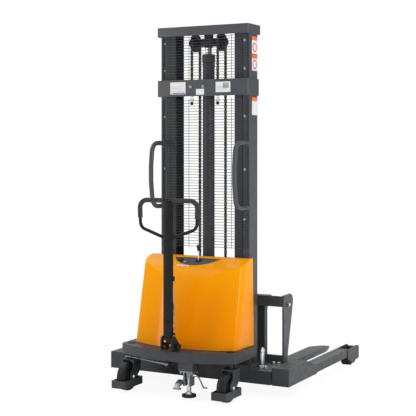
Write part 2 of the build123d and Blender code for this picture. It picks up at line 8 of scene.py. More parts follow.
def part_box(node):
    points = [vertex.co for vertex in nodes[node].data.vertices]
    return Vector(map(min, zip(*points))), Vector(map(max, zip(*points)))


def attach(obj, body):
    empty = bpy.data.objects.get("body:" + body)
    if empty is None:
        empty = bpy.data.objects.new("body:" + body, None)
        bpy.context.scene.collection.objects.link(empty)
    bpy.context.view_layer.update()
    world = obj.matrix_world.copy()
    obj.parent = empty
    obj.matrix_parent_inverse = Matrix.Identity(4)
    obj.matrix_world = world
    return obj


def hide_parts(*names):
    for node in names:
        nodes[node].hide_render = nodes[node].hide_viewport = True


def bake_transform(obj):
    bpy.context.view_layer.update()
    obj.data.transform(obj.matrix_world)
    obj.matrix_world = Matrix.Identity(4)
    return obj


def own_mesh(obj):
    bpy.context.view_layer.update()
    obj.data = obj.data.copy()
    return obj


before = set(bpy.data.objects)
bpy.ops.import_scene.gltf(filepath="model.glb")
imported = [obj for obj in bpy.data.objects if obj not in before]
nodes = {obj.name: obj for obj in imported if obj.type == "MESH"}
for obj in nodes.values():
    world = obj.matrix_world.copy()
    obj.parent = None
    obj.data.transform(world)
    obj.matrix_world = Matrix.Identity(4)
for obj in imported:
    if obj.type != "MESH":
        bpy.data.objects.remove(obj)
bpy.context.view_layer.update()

# ---- the studio ---------------------------------------------------------------------------------
# A level camera stands behind and to the right of the truck, at chest height, its view shifted down.
# The truck stands on a matt floor that shows as plain white but for a faint shadow, under a broad
# overhead sun, and two soft boxes draw the highlights.
camera = bpy.data.objects.new("camera", bpy.data.cameras.new("camera"))
bpy.context.scene.collection.objects.link(camera)
camera.location = (2.8983, -5.8758, 1.3727)
camera.rotation_euler = (math.radians(90), 0, math.radians(27.785))
camera.data.lens = 91.96
camera.data.sensor_width = 36
camera.data.shift_y = -0.1446
bpy.context.scene.camera = camera
bpy.context.scene.view_settings.view_transform = "Standard"

sky = bpy.data.worlds.new("sky")
sky.use_nodes = True
sky_tree = sky.node_tree
seen_white = sky_tree.nodes.new("ShaderNodeBackground")
seen_white.inputs["Color"].default_value = (1, 1, 1, 1)
seen_white.inputs["Strength"].default_value = 1.02
room_light = sky_tree.nodes["Background"]
room_light.inputs["Color"].default_value = (0.98, 0.99, 1, 1)
room_light.inputs["Strength"].default_value = 0.3
ray_kind = sky_tree.nodes.new("ShaderNodeLightPath")
choose = sky_tree.nodes.new("ShaderNodeMixShader")
sky_tree.links.new(ray_kind.outputs["Is Camera Ray"], choose.inputs["Fac"])
sky_tree.links.new(room_light.outputs["Background"], choose.inputs[1])
sky_tree.links.new(seen_white.outputs["Background"], choose.inputs[2])
sky_tree.links.new(choose.outputs["Shader"], sky_tree.nodes["World Output"].inputs["Surface"])
bpy.context.scene.world = sky


def soft_box(name, place, aim, width, height, power):
    """A studio light with a soft rectangular face, pointed at a spot."""
    lamp = bpy.data.objects.new(name, bpy.data.lights.new(name, "AREA"))
    lamp.data.shape = "RECTANGLE"
    lamp.data.size = width
    lamp.data.size_y = height
    lamp.data.energy = power
    lamp.location = place
    lamp.rotation_euler = (Vector(aim) - Vector(place)).to_track_quat("-Z", "Y").to_euler()
    bpy.context.scene.collection.objects.link(lamp)


soft_box("left_box", (-3.4, -3.6, 2.2), (0, -0.3, 0.9), 1.0, 3.2, 80)
soft_box("right_box", (4.6, -2.2, 2.4), (0, -0.2, 1.0), 1.0, 3.0, 140)
overhead = bpy.data.objects.new("overhead", bpy.data.lights.new("overhead", "SUN"))
overhead.data.energy = 2.75
overhead.data.angle = math.radians(100)
overhead.rotation_euler = (math.radians(-18), math.radians(-14), 0)
bpy.context.scene.collection.objects.link(overhead)


def surface(name, colour, rough, metal=0.0, shine=0.35):
    """A finish with one colour, roughness, metalness and shine, ready for its detail."""
    finish = bpy.data.materials.new(name)
    finish.use_nodes = True
    shader = finish.node_tree.nodes["Principled BSDF"]
    shader.inputs["Base Color"].default_value = (*colour, 1)
    shader.inputs["Roughness"].default_value = rough
    shader.inputs["Metallic"].default_value = metal
    shader.inputs["Specular IOR Level"].default_value = shine
    return finish


def set_up(name, bm, finish, smooth=None):
    """A finished mesh becomes an object with one finish; faces under the smooth angle shade as one."""
    bmesh.ops.recalc_face_normals(bm, faces=bm.faces)
    mesh = bpy.data.meshes.new(name)
    bm.to_mesh(mesh)
    bm.free()
    for coat in finish if isinstance(finish, (list, tuple)) else (finish,):
        mesh.materials.append(coat)
    if smooth:
        mesh.shade_smooth()
        mesh.set_sharp_from_angle(angle=math.radians(smooth))
    made = bpy.data.objects.new(name, mesh)
    bpy.context.scene.collection.objects.link(made)
    return made


bm = bmesh.new()
bmesh.ops.create_grid(bm, x_segments=1, y_segments=1, size=40)
white_floor = surface("white_floor", (0.96, 0.96, 0.96), 0.95)
floor_tree = white_floor.node_tree
paper_white = floor_tree.nodes.new("ShaderNodeEmission")
paper_white.inputs["Strength"].default_value = 1.02
ray_kind = floor_tree.nodes.new("ShaderNodeLightPath")
seen_share = floor_tree.nodes.new("ShaderNodeMath")
seen_share.operation = "MULTIPLY"
seen_share.inputs[1].default_value = 0.9
choose = floor_tree.nodes.new("ShaderNodeMixShader")
floor_tree.links.new(ray_kind.outputs["Is Camera Ray"], seen_share.inputs[0])
floor_tree.links.new(seen_share.outputs["Value"], choose.inputs["Fac"])
floor_tree.links.new(floor_tree.nodes["Principled BSDF"].outputs["BSDF"], choose.inputs[1])
floor_tree.links.new(paper_white.outputs["Emission"], choose.inputs[2])
floor_tree.links.new(choose.outputs["Shader"], floor_tree.nodes["Material Output"].inputs["Surface"])
floor = set_up("floor", bm, white_floor)

# ---- mast: outer channels and cross beams -------------------------------------------------------
# Two rolled steel channels stand on the base frame, open sides inwards, and carry the whole lift.
# Bent plates are welded round their heads and below, and all of it is powder coated dark grey.
MAST_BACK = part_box("mast_top_beam")[0].y


def at(x, y, z):
    """A point in millimetres from the truck's middle, the back of the mast beams and the floor."""
    return Vector((x / 1000, MAST_BACK + y / 1000, z / 1000))


def pattern(finish, kind, scale, detail=2.0, stretch=(1, 1, 1), turn=(0, 0, 0)):
    """A noise, cell or wave pattern laid through the piece at its real size."""
    tree = finish.node_tree
    place = tree.nodes.new("ShaderNodeTexCoord")
    mapping = tree.nodes.new("ShaderNodeMapping")
    mapping.inputs["Scale"].default_value = stretch
    mapping.inputs["Rotation"].default_value = turn
    tree.links.new(place.outputs["Object"], mapping.inputs["Vector"])
    texture = tree.nodes.new("ShaderNodeTex" + kind)
    texture.inputs["Scale"].default_value = scale
    if "Detail" in texture.inputs:
        texture.inputs["Detail"].default_value = detail
    tree.links.new(mapping.outputs["Vector"], texture.inputs["Vector"])
    return texture.outputs["Distance" if kind == "Voronoi" else "Fac"]


def tone(finish, value, low, high, start=0.3, end=0.7):
    """The colour runs from low to high with a pattern."""
    tree = finish.node_tree
    ramp = tree.nodes.new("ShaderNodeValToRGB")
    for stop, place, colour in zip(ramp.color_ramp.elements, (start, end), (low, high)):
        stop.position = place
        stop.color = (*colour, 1)
    tree.links.new(value, ramp.inputs["Fac"])
    tree.links.new(ramp.outputs["Color"], tree.nodes["Principled BSDF"].inputs["Base Color"])


def gloss(finish, value, low, high):
    """The roughness runs from low to high with a pattern."""
    tree = finish.node_tree
    span = tree.nodes.new("ShaderNodeMapRange")
    span.inputs["From Min"].default_value = 0.3
    span.inputs["From Max"].default_value = 0.7
    span.inputs["To Min"].default_value = low
    span.inputs["To Max"].default_value = high
    tree.links.new(value, span.inputs["Value"])
    tree.links.new(span.outputs["Result"], tree.nodes["Principled BSDF"].inputs["Roughness"])


def relief(finish, value, depth, strength=1.0):
    """A pattern raises the surface by a depth in millimetres, on top of what is there already."""
    tree = finish.node_tree
    bump = tree.nodes.new("ShaderNodeBump")
    bump.inputs["Distance"].default_value = depth / 1000
    bump.inputs["Strength"].default_value = strength
    normal = tree.nodes["Principled BSDF"].inputs["Normal"]
    if normal.is_linked:
        tree.links.new(normal.links[0].from_socket, bump.inputs["Normal"])
    tree.links.new(value, bump.inputs["Height"])
    tree.links.new(bump.outputs["Normal"], normal)


def own_piece(made, body, slot, *stands_for):
    """A piece moves with its body and stands for CAD nodes; the slot is not used."""
    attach(made, body)
    if stands_for:
        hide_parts(*stands_for)
    return made


def eased(node, body, slot, finish, radius, corner=0):
    """A cut or welded steel part, a merged copy of the CAD node: its edges broken, its corners bent."""
    bm = bmesh.new()
    bm.from_mesh(nodes[node].data)
    bmesh.ops.remove_doubles(bm, verts=bm.verts, dist=0.00002)
    bmesh.ops.dissolve_limit(bm, angle_limit=math.radians(0.4), verts=bm.verts, edges=bm.edges)
    if corner:
        low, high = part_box(node)
        corners = {v for v in bm.verts
                   if abs(v.co.y - low.y) < 1e-4 and min(v.co.x - low.x, high.x - v.co.x) < 1e-4}
        outer = [e for e in bm.edges if corners.issuperset(e.verts)
                 and abs(e.verts[0].co.z - e.verts[1].co.z) > 0.01]
        bmesh.ops.bevel(bm, geom=outer, offset=corner / 1000, offset_type="OFFSET", segments=6, profile=0.5,
                        affect="EDGES", material=-1)
    made = set_up(node + "_eased", bm, finish, smooth=30)
    edge = made.modifiers.new("broken_edges", "BEVEL")
    edge.width = radius / 1000
    edge.segments = 2
    edge.limit_method = "ANGLE"
    edge.angle_limit = math.radians(38)
    edge.harden_normals = True
    return own_piece(made, body, slot, node)


powder_grey = surface("powder_grey", (0.046, 0.05, 0.057), 0.42)
tone(powder_grey, pattern(powder_grey, "Noise", 2.5, 5), (0.041, 0.045, 0.052), (0.051, 0.056, 0.063))
gloss(powder_grey, pattern(powder_grey, "Noise", 30, 5), 0.34, 0.5)
relief(powder_grey, pattern(powder_grey, "Noise", 650, 2), 0.25, 0.5)
for name in ("outer_mast_left", "outer_mast_right"):
    eased(name, "chassis", "grey_paint", powder_grey, 2.0)
for name in ("mast_top_beam", "mast_mid_beam"):
    eased(name, "chassis", "grey_paint", powder_grey, 1.5, 14)

# ---- mast: inner channels and their cross beams -------------------------------------------------
# A second pair of channels slides between the outer ones; a box beam ties them at the top and a
# flat bar at the bottom. The same grey coat, worn satin where the guide rollers run.
# The grey coat mixed darker than on the outer channels: painted shade on the inner channels between them. The
# lift cylinder's own dark grey takes the same finish.
dark_grey_and_shade = surface("dark_grey_and_shade", (0.03, 0.033, 0.037), 0.4, shine=0.25)
tone(dark_grey_and_shade, pattern(dark_grey_and_shade, "Noise", 9, 6, (1, 1, 0.12)), (0.025, 0.028, 0.032), (0.038, 0.041, 0.046))
gloss(dark_grey_and_shade, pattern(dark_grey_and_shade, "Noise", 60, 4, (1, 1, 0.06)), 0.3, 0.5)
relief(dark_grey_and_shade, pattern(dark_grey_and_shade, "Noise", 650, 2), 0.25, 0.4)
for name in ("inner_mast_left", "inner_mast_right", "inner_top_beam", "inner_bottom_beam"):
    eased(name, "inner_mast", "grey_paint", dark_grey_and_shade, 1.5)

# ---- guide rollers ------------------------------------------------------------------------------
# Six turned steel rollers on stub axles guide the inner mast and the carriage in their channels.
# Each has a ground tread, chamfered rims, a recessed face and a bearing with a snap-ring groove.
ALONG_X, UPRIGHT = (1, 0, 0), (0, 0, 1)


def aim(direction):
    """The turn that brings an upright piece to point along a direction."""
    return Vector(UPRIGHT).rotation_difference(Vector(direction)).to_matrix()


def turned(bm, outline, direction, centre, sides=40):
    """A piece off the lathe: an outline of radius and height in millimetres, spun round its axis."""
    old = set(bm.verts)
    row = [bm.verts.new((radius / 1000, 0, height / 1000)) for radius, height in outline]
    edges = [bm.edges.new(pair) for pair in zip(row, row[1:])]
    bmesh.ops.spin(bm, geom=row + edges, cent=(0, 0, 0), axis=UPRIGHT, angle=math.tau, steps=sides,
                   use_merge=True)
    made = [v for v in bm.verts if v not in old]
    bmesh.ops.remove_doubles(bm, verts=made, dist=0.000005)
    made = [v for v in bm.verts if v not in old]
    bmesh.ops.rotate(bm, verts=made, cent=(0, 0, 0), matrix=aim(direction))
    bmesh.ops.translate(bm, verts=made, vec=centre)
    return made


roller_steel = surface("roller_steel", (0.3, 0.3, 0.31), 0.34, 1.0)
tone(roller_steel, pattern(roller_steel, "Noise", 40, 5), (0.2, 0.19, 0.18), (0.4, 0.4, 0.41))
gloss(roller_steel, pattern(roller_steel, "Noise", 300, 3), 0.25, 0.45)
relief(roller_steel, pattern(roller_steel, "Wave", 300, 2), 0.05, 0.4)


def guide_roller(node, body, half):
    """One roller, turned round its bore with a closed outline."""
    low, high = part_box(node)
    bm = bmesh.new()
    turned(bm, [(10.1, -half), (19, -half), (19.5, -half + 1.5), (21, -half + 1.5), (21.5, -half),
                (25, -half), (26, -half + 3), (35, -half + 3), (36, -half), (41.5, -half),
                (43.5, -half + 2), (43.5, half - 2), (41.5, half), (36, half), (35, half - 3),
                (26, half - 3), (25, half), (21.5, half), (21, half - 1.5), (19.5, half - 1.5),
                (19, half), (10.1, half), (10.1, -half)], ALONG_X, (low + high) / 2)
    own_piece(set_up(node + "_turned", bm, roller_steel, 35), body, "roller_steel", node)


for side, letter in (("left", "l"), ("right", "r")):
    guide_roller("inner_roller_" + side, "inner_roller_" + letter, 14)
    for level in ("lower", "upper"):
        guide_roller(f"carriage_roller_{level}_{side}", f"carriage_roller_{level[0]}{letter}", 18)

# ---- wire mesh guards ---------------------------------------------------------------------------
# Two panels of welded wire keep hands out of the chains: close level wires, a few uprights and a
# flat strip at each side. They are coated dark grey and bolted to the outer channels.
guard_grey = surface("guard_grey", (0.04, 0.044, 0.05), 0.42)
tone(guard_grey, pattern(guard_grey, "Noise", 60, 4), (0.033, 0.037, 0.043), (0.048, 0.053, 0.06))
gloss(guard_grey, pattern(guard_grey, "Noise", 90, 3), 0.36, 0.5)
for name in ("mesh_guard_upper", "mesh_guard_lower"):
    nodes[name].data.materials[0] = guard_grey

# ---- bolts of the mesh guards and of the mid beam -----------------------------------------------
# Zinc-plated hexagon bolts on washers, five down each side of the guards and two in the mid beam.
# Their heads are cold forged, with turned-off corners. The left bolts take a darker zinc as painted shade,
# and the two in the beam take the same darker zinc.
zinc = surface("zinc", (0.62, 0.64, 0.66), 0.3, 1.0)
tone(zinc, pattern(zinc, "Voronoi", 220), (0.5, 0.52, 0.55), (0.75, 0.76, 0.76), 0.1, 0.8)
gloss(zinc, pattern(zinc, "Noise", 180, 4), 0.24, 0.42)
relief(zinc, pattern(zinc, "Noise", 900, 2), 0.05, 0.4)


def drum(bm, direction, centre, radius, length, sides=28, rounding=0.0, top=None):
    """A round bar or disc round its centre, its rims rounded if asked."""
    old = set(bm.verts)
    bmesh.ops.create_cone(bm, cap_ends=True, segments=sides, radius1=radius / 1000,
                          radius2=(radius if top is None else top) / 1000, depth=length / 1000)
    made = [v for v in bm.verts if v not in old]
    if rounding:
        rims = {e for v in made for e in v.link_edges if abs(e.verts[0].co.z - e.verts[1].co.z) < 1e-6}
        bmesh.ops.bevel(bm, geom=list(rims), offset=rounding / 1000, offset_type="OFFSET", segments=2,
                        profile=0.5, affect="EDGES", material=-1, clamp_overlap=True)
        made = [v for v in bm.verts if v not in old]
    bmesh.ops.rotate(bm, verts=made, cent=(0, 0, 0), matrix=aim(direction))
    bmesh.ops.translate(bm, verts=made, vec=centre)
    return made


def hex_head(bm, direction, foot, flats, height, washer=0.0):
    """A bolt head or nut that stands on a washer at its foot, its six corners turned off."""
    up = Vector(direction).normalized()
    start = Vector(foot)
    if washer:
        drum(bm, direction, start + up * 0.001, washer, 2, 24, 0.4)
        start = start + up * 0.002
    corner = flats / math.sqrt(3)
    drum(bm, direction, start + up * (height * 0.4 / 1000), corner, height * 0.8, 6)
    drum(bm, direction, start + up * (height * 0.9 / 1000), corner, height * 0.2, 6, top=flats * 0.47)


# A darker copy of the zinc: painted shade on the left guard bolts and on the drag link; the other parts that
# take it are dull zinc.
dull_and_shaded_zinc = surface("dull_and_shaded_zinc", (0.25, 0.26, 0.28), 0.42, 0.9)
tone(dull_and_shaded_zinc, pattern(dull_and_shaded_zinc, "Noise", 60, 5), (0.14, 0.15, 0.16), (0.36, 0.37, 0.39))
gloss(dull_and_shaded_zinc, pattern(dull_and_shaded_zinc, "Noise", 120, 3), 0.32, 0.55)
relief(dull_and_shaded_zinc, pattern(dull_and_shaded_zinc, "Noise", 400, 3), 0.2, 0.5)
# The left bolts have the same plating as the right ones and take the darker zinc as painted shade.
for side, side_x, plating, stands_for in (("right", 262, zinc, ("guard_bolts",)),
                                          ("left", -262, dull_and_shaded_zinc, ())):
    bm = bmesh.new()
    for z in (1988, 1827, 1554, 1250, 964):
        hex_head(bm, (0, -1, 0), at(side_x, 35, z), 13, 6, 8)
    own_piece(set_up("guard_bolts_" + side, bm, plating, 30), "chassis", "zinc", *stands_for)
bm = bmesh.new()
for x in (-72, 11):
    hex_head(bm, (0, -1, 0), at(x, 0, 1727), 17, 7, 11)
own_piece(set_up("mid_beam_bolts", bm, dull_and_shaded_zinc, 30), "chassis", "zinc")

# ---- lift cylinder and piston rod ---------------------------------------------------------------
# A single-acting hydraulic cylinder stands on the base frame between the channels: a drawn tube
# painted dark grey, a screwed gland with a spanner slot and wiper, and a hard-chromed rod.
MAST_AXIS_Y = 89
CYLINDER = at(0, MAST_AXIS_Y, 0)
SPANNER_CIRCLE = 0.031
GLAND_TOP = 1.9192
bm = bmesh.new()
turned(bm, [(0, 72), (33, 72), (35, 75), (35, 1846), (36.5, 1848), (36.5, 1866), (35.5, 1868),
            (35.5, 1871), (38.5, 1873), (38.5, 1891), (37.5, 1892), (37.5, 1896), (38.5, 1897),
            (38.5, 1915), (36, 1919), (26, 1919), (25, 1921), (20, 1921), (19, 1919), (18.1, 1919),
            (18.1, 1860), (0, 1860)], UPRIGHT, CYLINDER, 48)
for turn in range(4):
    angle = math.radians(45 + 90 * turn)
    hole = Vector((math.cos(angle) * SPANNER_CIRCLE, math.sin(angle) * SPANNER_CIRCLE, GLAND_TOP))
    drum(bm, UPRIGHT, CYLINDER + hole, 2.6, 2, 12)
drum(bm, ALONG_X, CYLINDER + Vector((0.041, 0, 0.118)), 11, 16, 24, 1)
own_piece(set_up("lift_cylinder_turned", bm, dark_grey_and_shade, 32), "chassis", "black_steel", "lift_cylinder")

chrome = surface("chrome", (0.78, 0.79, 0.81), 0.09, 1.0)
gloss(chrome, pattern(chrome, "Noise", 400, 3, (1, 1, 0.05)), 0.06, 0.14)
relief(chrome, pattern(chrome, "Noise", 900, 2, (1, 1, 4)), 0.01, 0.3)
nodes["piston_rod"].data.materials[0] = chrome

# ---- crosshead and chain sprockets --------------------------------------------------------------
# A black casting on the rod's head carries one chain wheel at each end on a through axle.
# It has three cast ribs, guard cheeks round the wheels and a bracket up to the inner mast.
CHAIN_X = 85
WHEEL_Z = 1988


def block(bm, low, high, rounding=0.0, steps=2):
    """A bar between two corners in millimetres, its edges rounded if asked."""
    old = set(bm.verts)
    bmesh.ops.create_cube(bm, size=1)
    made = [v for v in bm.verts if v not in old]
    near, far = at(*low), at(*high)
    bmesh.ops.scale(bm, verts=made, vec=far - near)
    bmesh.ops.translate(bm, verts=made, vec=(near + far) / 2)
    if rounding:
        edges = {e for v in made for e in v.link_edges}
        bmesh.ops.bevel(bm, geom=list(edges), offset=rounding / 1000, offset_type="OFFSET", segments=steps,
                        profile=0.5, affect="EDGES", material=-1, clamp_overlap=True)
    return [v for v in bm.verts if v not in old]


bm = bmesh.new()
block(bm, (-60, 72, 1967), (60, 106, 2010), 3)
for z in (1966, 1985, 2004):
    block(bm, (-62, 69, z), (62, 109, z + 8), 2)
block(bm, (-26, 80, 2008), (26, 100, 2050), 2)
block(bm, (-30, 77, 2044), (30, 103, 2050), 1.5)
drum(bm, ALONG_X, at(0, 89, 1988), 12, 244, 24, 1)
for side_x in (-1, 1):
    drum(bm, ALONG_X, at(side_x * 68, 89, 1988), 22, 12, 32, 1.5)
    drum(bm, ALONG_X, at(side_x * 109, 89, 1988), 22, 22, 32, 1.5)
    drum(bm, ALONG_X, at(side_x * 121, 89, 1988), 9, 5, 6, 0.8)
    drum(bm, ALONG_X, at(side_x * 103, 89, 1988), 40, 5, 40, 1.2)
drum(bm, UPRIGHT, at(0, 89, 1962), 24, 10, 32, 1.5)
cast_black = surface("cast_black", (0.012, 0.012, 0.013), 0.45, shine=0.25)
gloss(cast_black, pattern(cast_black, "Noise", 60, 4), 0.38, 0.55)
tone(cast_black, pattern(cast_black, "Noise", 90, 5), (0.008, 0.008, 0.009), (0.017, 0.017, 0.018))
relief(cast_black, pattern(cast_black, "Noise", 260, 4), 0.6, 0.5)
own_piece(set_up("crosshead_cast", bm, cast_black, 35), "inner_mast", "black_steel", "crosshead")

chain_steel = surface("chain_steel", (0.06, 0.056, 0.052), 0.36, 0.85)
tone(chain_steel, pattern(chain_steel, "Noise", 120, 4), (0.03, 0.027, 0.025), (0.1, 0.095, 0.09))
gloss(chain_steel, pattern(chain_steel, "Noise", 200, 3), 0.28, 0.5)
relief(chain_steel, pattern(chain_steel, "Noise", 700, 2), 0.1, 0.4)
for side, side_x in (("left", -CHAIN_X), ("right", CHAIN_X)):
    bm = bmesh.new()
    turned(bm, [(12.1, -10), (20, -10), (21, -8), (46, -8), (47, -10), (52, -10), (53, -9), (53, -7.5),
                (44, -6), (44, 6), (53, 7.5), (53, 9), (52, 10), (47, 10), (46, 8), (21, 8), (20, 10),
                (12.1, 10), (12.1, -10)], ALONG_X, at(side_x, MAST_AXIS_Y, WHEEL_Z), 48)
    own_piece(set_up("chain_wheel_" + side, bm, cast_black, 35), "sprocket_" + side[0], "chain_steel",
              "sprocket_" + side)

# ---- leaf chains --------------------------------------------------------------------------------
# Two leaf chains run from the anchors over the chain wheels down to the carriage. Each pitch has
# a pin through three inner and two outer plates, stamped with waists, heat-treated and oiled.
PITCH = 15.875
CHAIN_HALF = 7.4
ANCHOR_Y = 39


def link_plate(bm, x, thick, middle):
    """One stamped plate, eight-sided and waisted, standing across X round its middle height."""
    old = set(bm.verts)
    bmesh.ops.create_circle(bm, cap_ends=True, segments=12, radius=0.0059)
    made = [v for v in bm.verts if v not in old]
    for v in made:
        v.co.y += math.copysign(PITCH / 2000, v.co.y) if abs(v.co.y) > 1e-5 else 0
        if abs(v.co.y) < 1e-5:
            v.co.x *= 0.78
    faces = [f for v in made[:1] for f in v.link_faces]
    grown = bmesh.ops.extrude_face_region(bm, geom=faces)["geom"]
    bmesh.ops.translate(bm, verts=[g for g in grown if isinstance(g, bmesh.types.BMVert)],
                        vec=(0, 0, thick / 1000))
    made = [v for v in bm.verts if v not in old]
    bmesh.ops.rotate(bm, verts=made, cent=(0, 0, 0), matrix=Matrix.Rotation(math.radians(90), 3, "X"))
    bmesh.ops.rotate(bm, verts=made, cent=(0, 0, 0), matrix=Matrix.Rotation(math.radians(90), 3, "Z"))
    bmesh.ops.translate(bm, verts=made, vec=Vector((x / 1000, 0, middle / 1000)))


def chain_pitches():
    """Two pitches of chain round the origin, to be repeated: outer pairs, then inner triples."""
    bm = bmesh.new()
    for x in (-7.0, 4.9):
        link_plate(bm, x, 2.1, PITCH / 2)
    for x in (-4.7, -1.05, 2.6):
        link_plate(bm, x, 2.1, PITCH * 1.5)
    for x in (-4.7, 2.6):
        link_plate(bm, x, 2.1, PITCH / 2)
    for z in (0, PITCH):
        drum(bm, ALONG_X, Vector((0, 0, z / 1000)), 2.4, 2 * CHAIN_HALF, 8)
    return bm


def straight_chain(bm, x, y, bottom, top):
    """A straight run of chain between two heights, its pitch fitted to the run."""
    unit = chain_pitches()
    count = max(1, round((top - bottom) / (2 * PITCH)))
    step = (top - bottom) / count
    bmesh.ops.scale(unit, verts=unit.verts, vec=(1, 1, step / (2 * PITCH)))
    stock = bpy.data.meshes.new("pitches")
    unit.to_mesh(stock)
    unit.free()
    for i in range(count):
        old = set(bm.verts)
        bm.from_mesh(stock)
        fresh = [v for v in bm.verts if v not in old]
        bmesh.ops.translate(bm, verts=fresh, vec=at(x, y, bottom + i * step))
    bpy.data.meshes.remove(stock)


for name, body, y, bottom, top in (("chain_rear_strands", None, ANCHOR_Y, 1726, WHEEL_Z),
                                   ("chain_front_strands", "carriage", 139, 372, WHEEL_Z)):
    bm = bmesh.new()
    for side_x in (-CHAIN_X, CHAIN_X):
        straight_chain(bm, side_x, y, bottom, top)
    strand = set_up(name.replace("strands", "leaf"), bm, chain_steel)
    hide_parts(name)
    if body:
        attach(strand, body)
        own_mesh(strand)
    else:
        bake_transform(strand)

bm = bmesh.new()
unit = chain_pitches()
stock = bpy.data.meshes.new("pitches")
unit.to_mesh(stock)
unit.free()
for side_x in (-CHAIN_X, CHAIN_X):
    for i in range(5):
        old = set(bm.verts)
        bm.from_mesh(stock)
        fresh = [v for v in bm.verts if v not in old]
        bmesh.ops.translate(bm, verts=fresh, vec=at(side_x, ANCHOR_Y, WHEEL_Z))
        bmesh.ops.rotate(bm, verts=fresh, cent=at(side_x, MAST_AXIS_Y, WHEEL_Z),
                         matrix=Matrix.Rotation(math.radians(-36 * i), 3, "X"))
bpy.data.meshes.remove(stock)
own_piece(set_up("chain_over_wheels", bm, chain_steel), "inner_mast", "chain_steel", "chain_wraps")

# ---- chain anchors ------------------------------------------------------------------------------
# Each chain ends in a threaded eye bolt through a shelf in the mid beam: fork end above, nut and
# lock nut on the shelf, and below it a ring with a rubber buffer. Zinc plated, oiled dark.
bm = bmesh.new()
for side_x in (-CHAIN_X, CHAIN_X):
    drum(bm, UPRIGHT, at(side_x, ANCHOR_Y, 1688), 7, 60, 20, 0.6)
    for z in range(1661, 1676, 3):
        drum(bm, UPRIGHT, at(side_x, ANCHOR_Y, z), 7.6, 1.4, 20)
    hex_head(bm, UPRIGHT, at(side_x, ANCHOR_Y, 1702), 20, 9, 11.5)
    hex_head(bm, (0, 0, -1), at(side_x, ANCHOR_Y, 1690), 20, 9, 11.5)
    block(bm, (side_x - 8, 33, 1711), (side_x - 4.5, 45, 1730), 1)
    block(bm, (side_x + 4.5, 33, 1711), (side_x + 8, 45, 1730), 1)
    drum(bm, ALONG_X, at(side_x, ANCHOR_Y, 1724), 2.6, 20, 12)
    old = set(bm.verts)
    bmesh.ops.create_circle(bm, cap_ends=False, segments=12, radius=0.0038)
    ring = [v for v in bm.verts if v not in old]
    bmesh.ops.translate(bm, verts=ring, vec=(0.0095, 0, 0))
    edges = list({e for v in ring for e in v.link_edges})
    bmesh.ops.spin(bm, geom=ring + edges, cent=(0, 0, 0), axis=(0, 1, 0), angle=math.tau, steps=24,
                   use_merge=True)
    ring = [v for v in bm.verts if v not in old]
    bmesh.ops.translate(bm, verts=ring, vec=at(side_x, ANCHOR_Y, 1650))
own_piece(set_up("chain_eye_bolts", bm, zinc, 35), "chassis", "zinc", "chain_anchors")

moulded_black = surface("moulded_black", (0.012, 0.012, 0.012), 0.5, shine=0.25)
gloss(moulded_black, pattern(moulded_black, "Noise", 40, 4), 0.42, 0.6)
tone(moulded_black, pattern(moulded_black, "Noise", 12, 3), (0.009, 0.009, 0.009), (0.015, 0.015, 0.015))
relief(moulded_black, pattern(moulded_black, "Voronoi", 900), 0.12, 0.5)
bm = bmesh.new()
for side_x in (-CHAIN_X, CHAIN_X):
    turned(bm, [(0, 1623), (7, 1623), (9, 1625), (9, 1630), (7.5, 1632), (9, 1634), (9, 1639), (7, 1641),
                (0, 1641)], UPRIGHT, at(side_x, ANCHOR_Y, 0), 24)
own_piece(set_up("chain_buffers", bm, moulded_black, 40), "chassis", "black_plastic")

# ---- grab handles -------------------------------------------------------------------------------
# A bent steel tube on the back of each outer channel, welded to a small round foot at both ends.
# Bent on a former in wide bends, a little bowed outwards, then powder coated with the mast.
def bent_tube(bm, points, radius, bend, sides=20):
    """A tube taken through its corners in millimetres: straight runs, and one bend radius between."""
    path = [at(*p) for p in points]
    runs = [(b - a).normalized() for a, b in zip(path, path[1:])]
    old = set(bm.verts)
    bmesh.ops.create_circle(bm, cap_ends=False, segments=sides, radius=radius / 1000)
    ring = [v for v in bm.verts if v not in old]
    bmesh.ops.rotate(bm, verts=ring, cent=(0, 0, 0), matrix=aim(runs[0]))
    bmesh.ops.translate(bm, verts=ring, vec=path[0])
    edges = list({e for v in ring for e in v.link_edges})
    ends = [edges]
    here = path[0]
    for i, run in enumerate(runs):
        last = i == len(runs) - 1
        swing = 0 if last else run.angle(runs[i + 1])
        back = bend / 1000 * math.tan(swing / 2)
        stop = path[i + 1] - run * back
        grown = bmesh.ops.extrude_edge_only(bm, edges=edges)["geom"]
        ring = [g for g in grown if isinstance(g, bmesh.types.BMVert)]
        edges = [g for g in grown if isinstance(g, bmesh.types.BMEdge) and all(v in ring for v in g.verts)]
        bmesh.ops.translate(bm, verts=ring, vec=stop - here)
        here = stop
        if not last and swing > 0.001:
            hinge = run.cross(runs[i + 1]).normalized()
            middle = stop + hinge.cross(run) * (bend / 1000)
            spun = bmesh.ops.spin(bm, geom=ring + edges, cent=middle, axis=hinge, angle=swing,
                                  steps=max(3, round(math.degrees(swing) / 9)))["geom_last"]
            ring = [g for g in spun if isinstance(g, bmesh.types.BMVert)]
            edges = [g for g in spun if isinstance(g, bmesh.types.BMEdge)]
            here = path[i + 1] + runs[i + 1] * back
    ends.append(edges)
    for rim in ends:
        bmesh.ops.edgeloop_fill(bm, edges=rim)
    return [v for v in bm.verts if v not in old]


HANDLE_TOP = 1401
HANDLE_FOOT = 1031
for side, side_x in (("left", -270), ("right", 270)):
    bm = bmesh.new()
    bent_tube(bm, [(side_x, 33, HANDLE_TOP), (side_x, -101, HANDLE_TOP), (side_x, -117, 1265),
                   (side_x, -117, 1180), (side_x, -96, HANDLE_FOOT), (side_x, 33, HANDLE_FOOT)],
              13.5, 62, 24)
    for z in (HANDLE_TOP, HANDLE_FOOT):
        turned(bm, [(0, 0), (19, 0), (19, 4), (17.5, 6), (15.5, 8), (14, 11), (0, 11)], (0, -1, 0),
               at(side_x, 35, z), 32)
    own_piece(set_up("grab_handle_bent_" + side, bm, powder_grey, 35), "chassis", "grey_paint",
              "grab_handle_" + side)
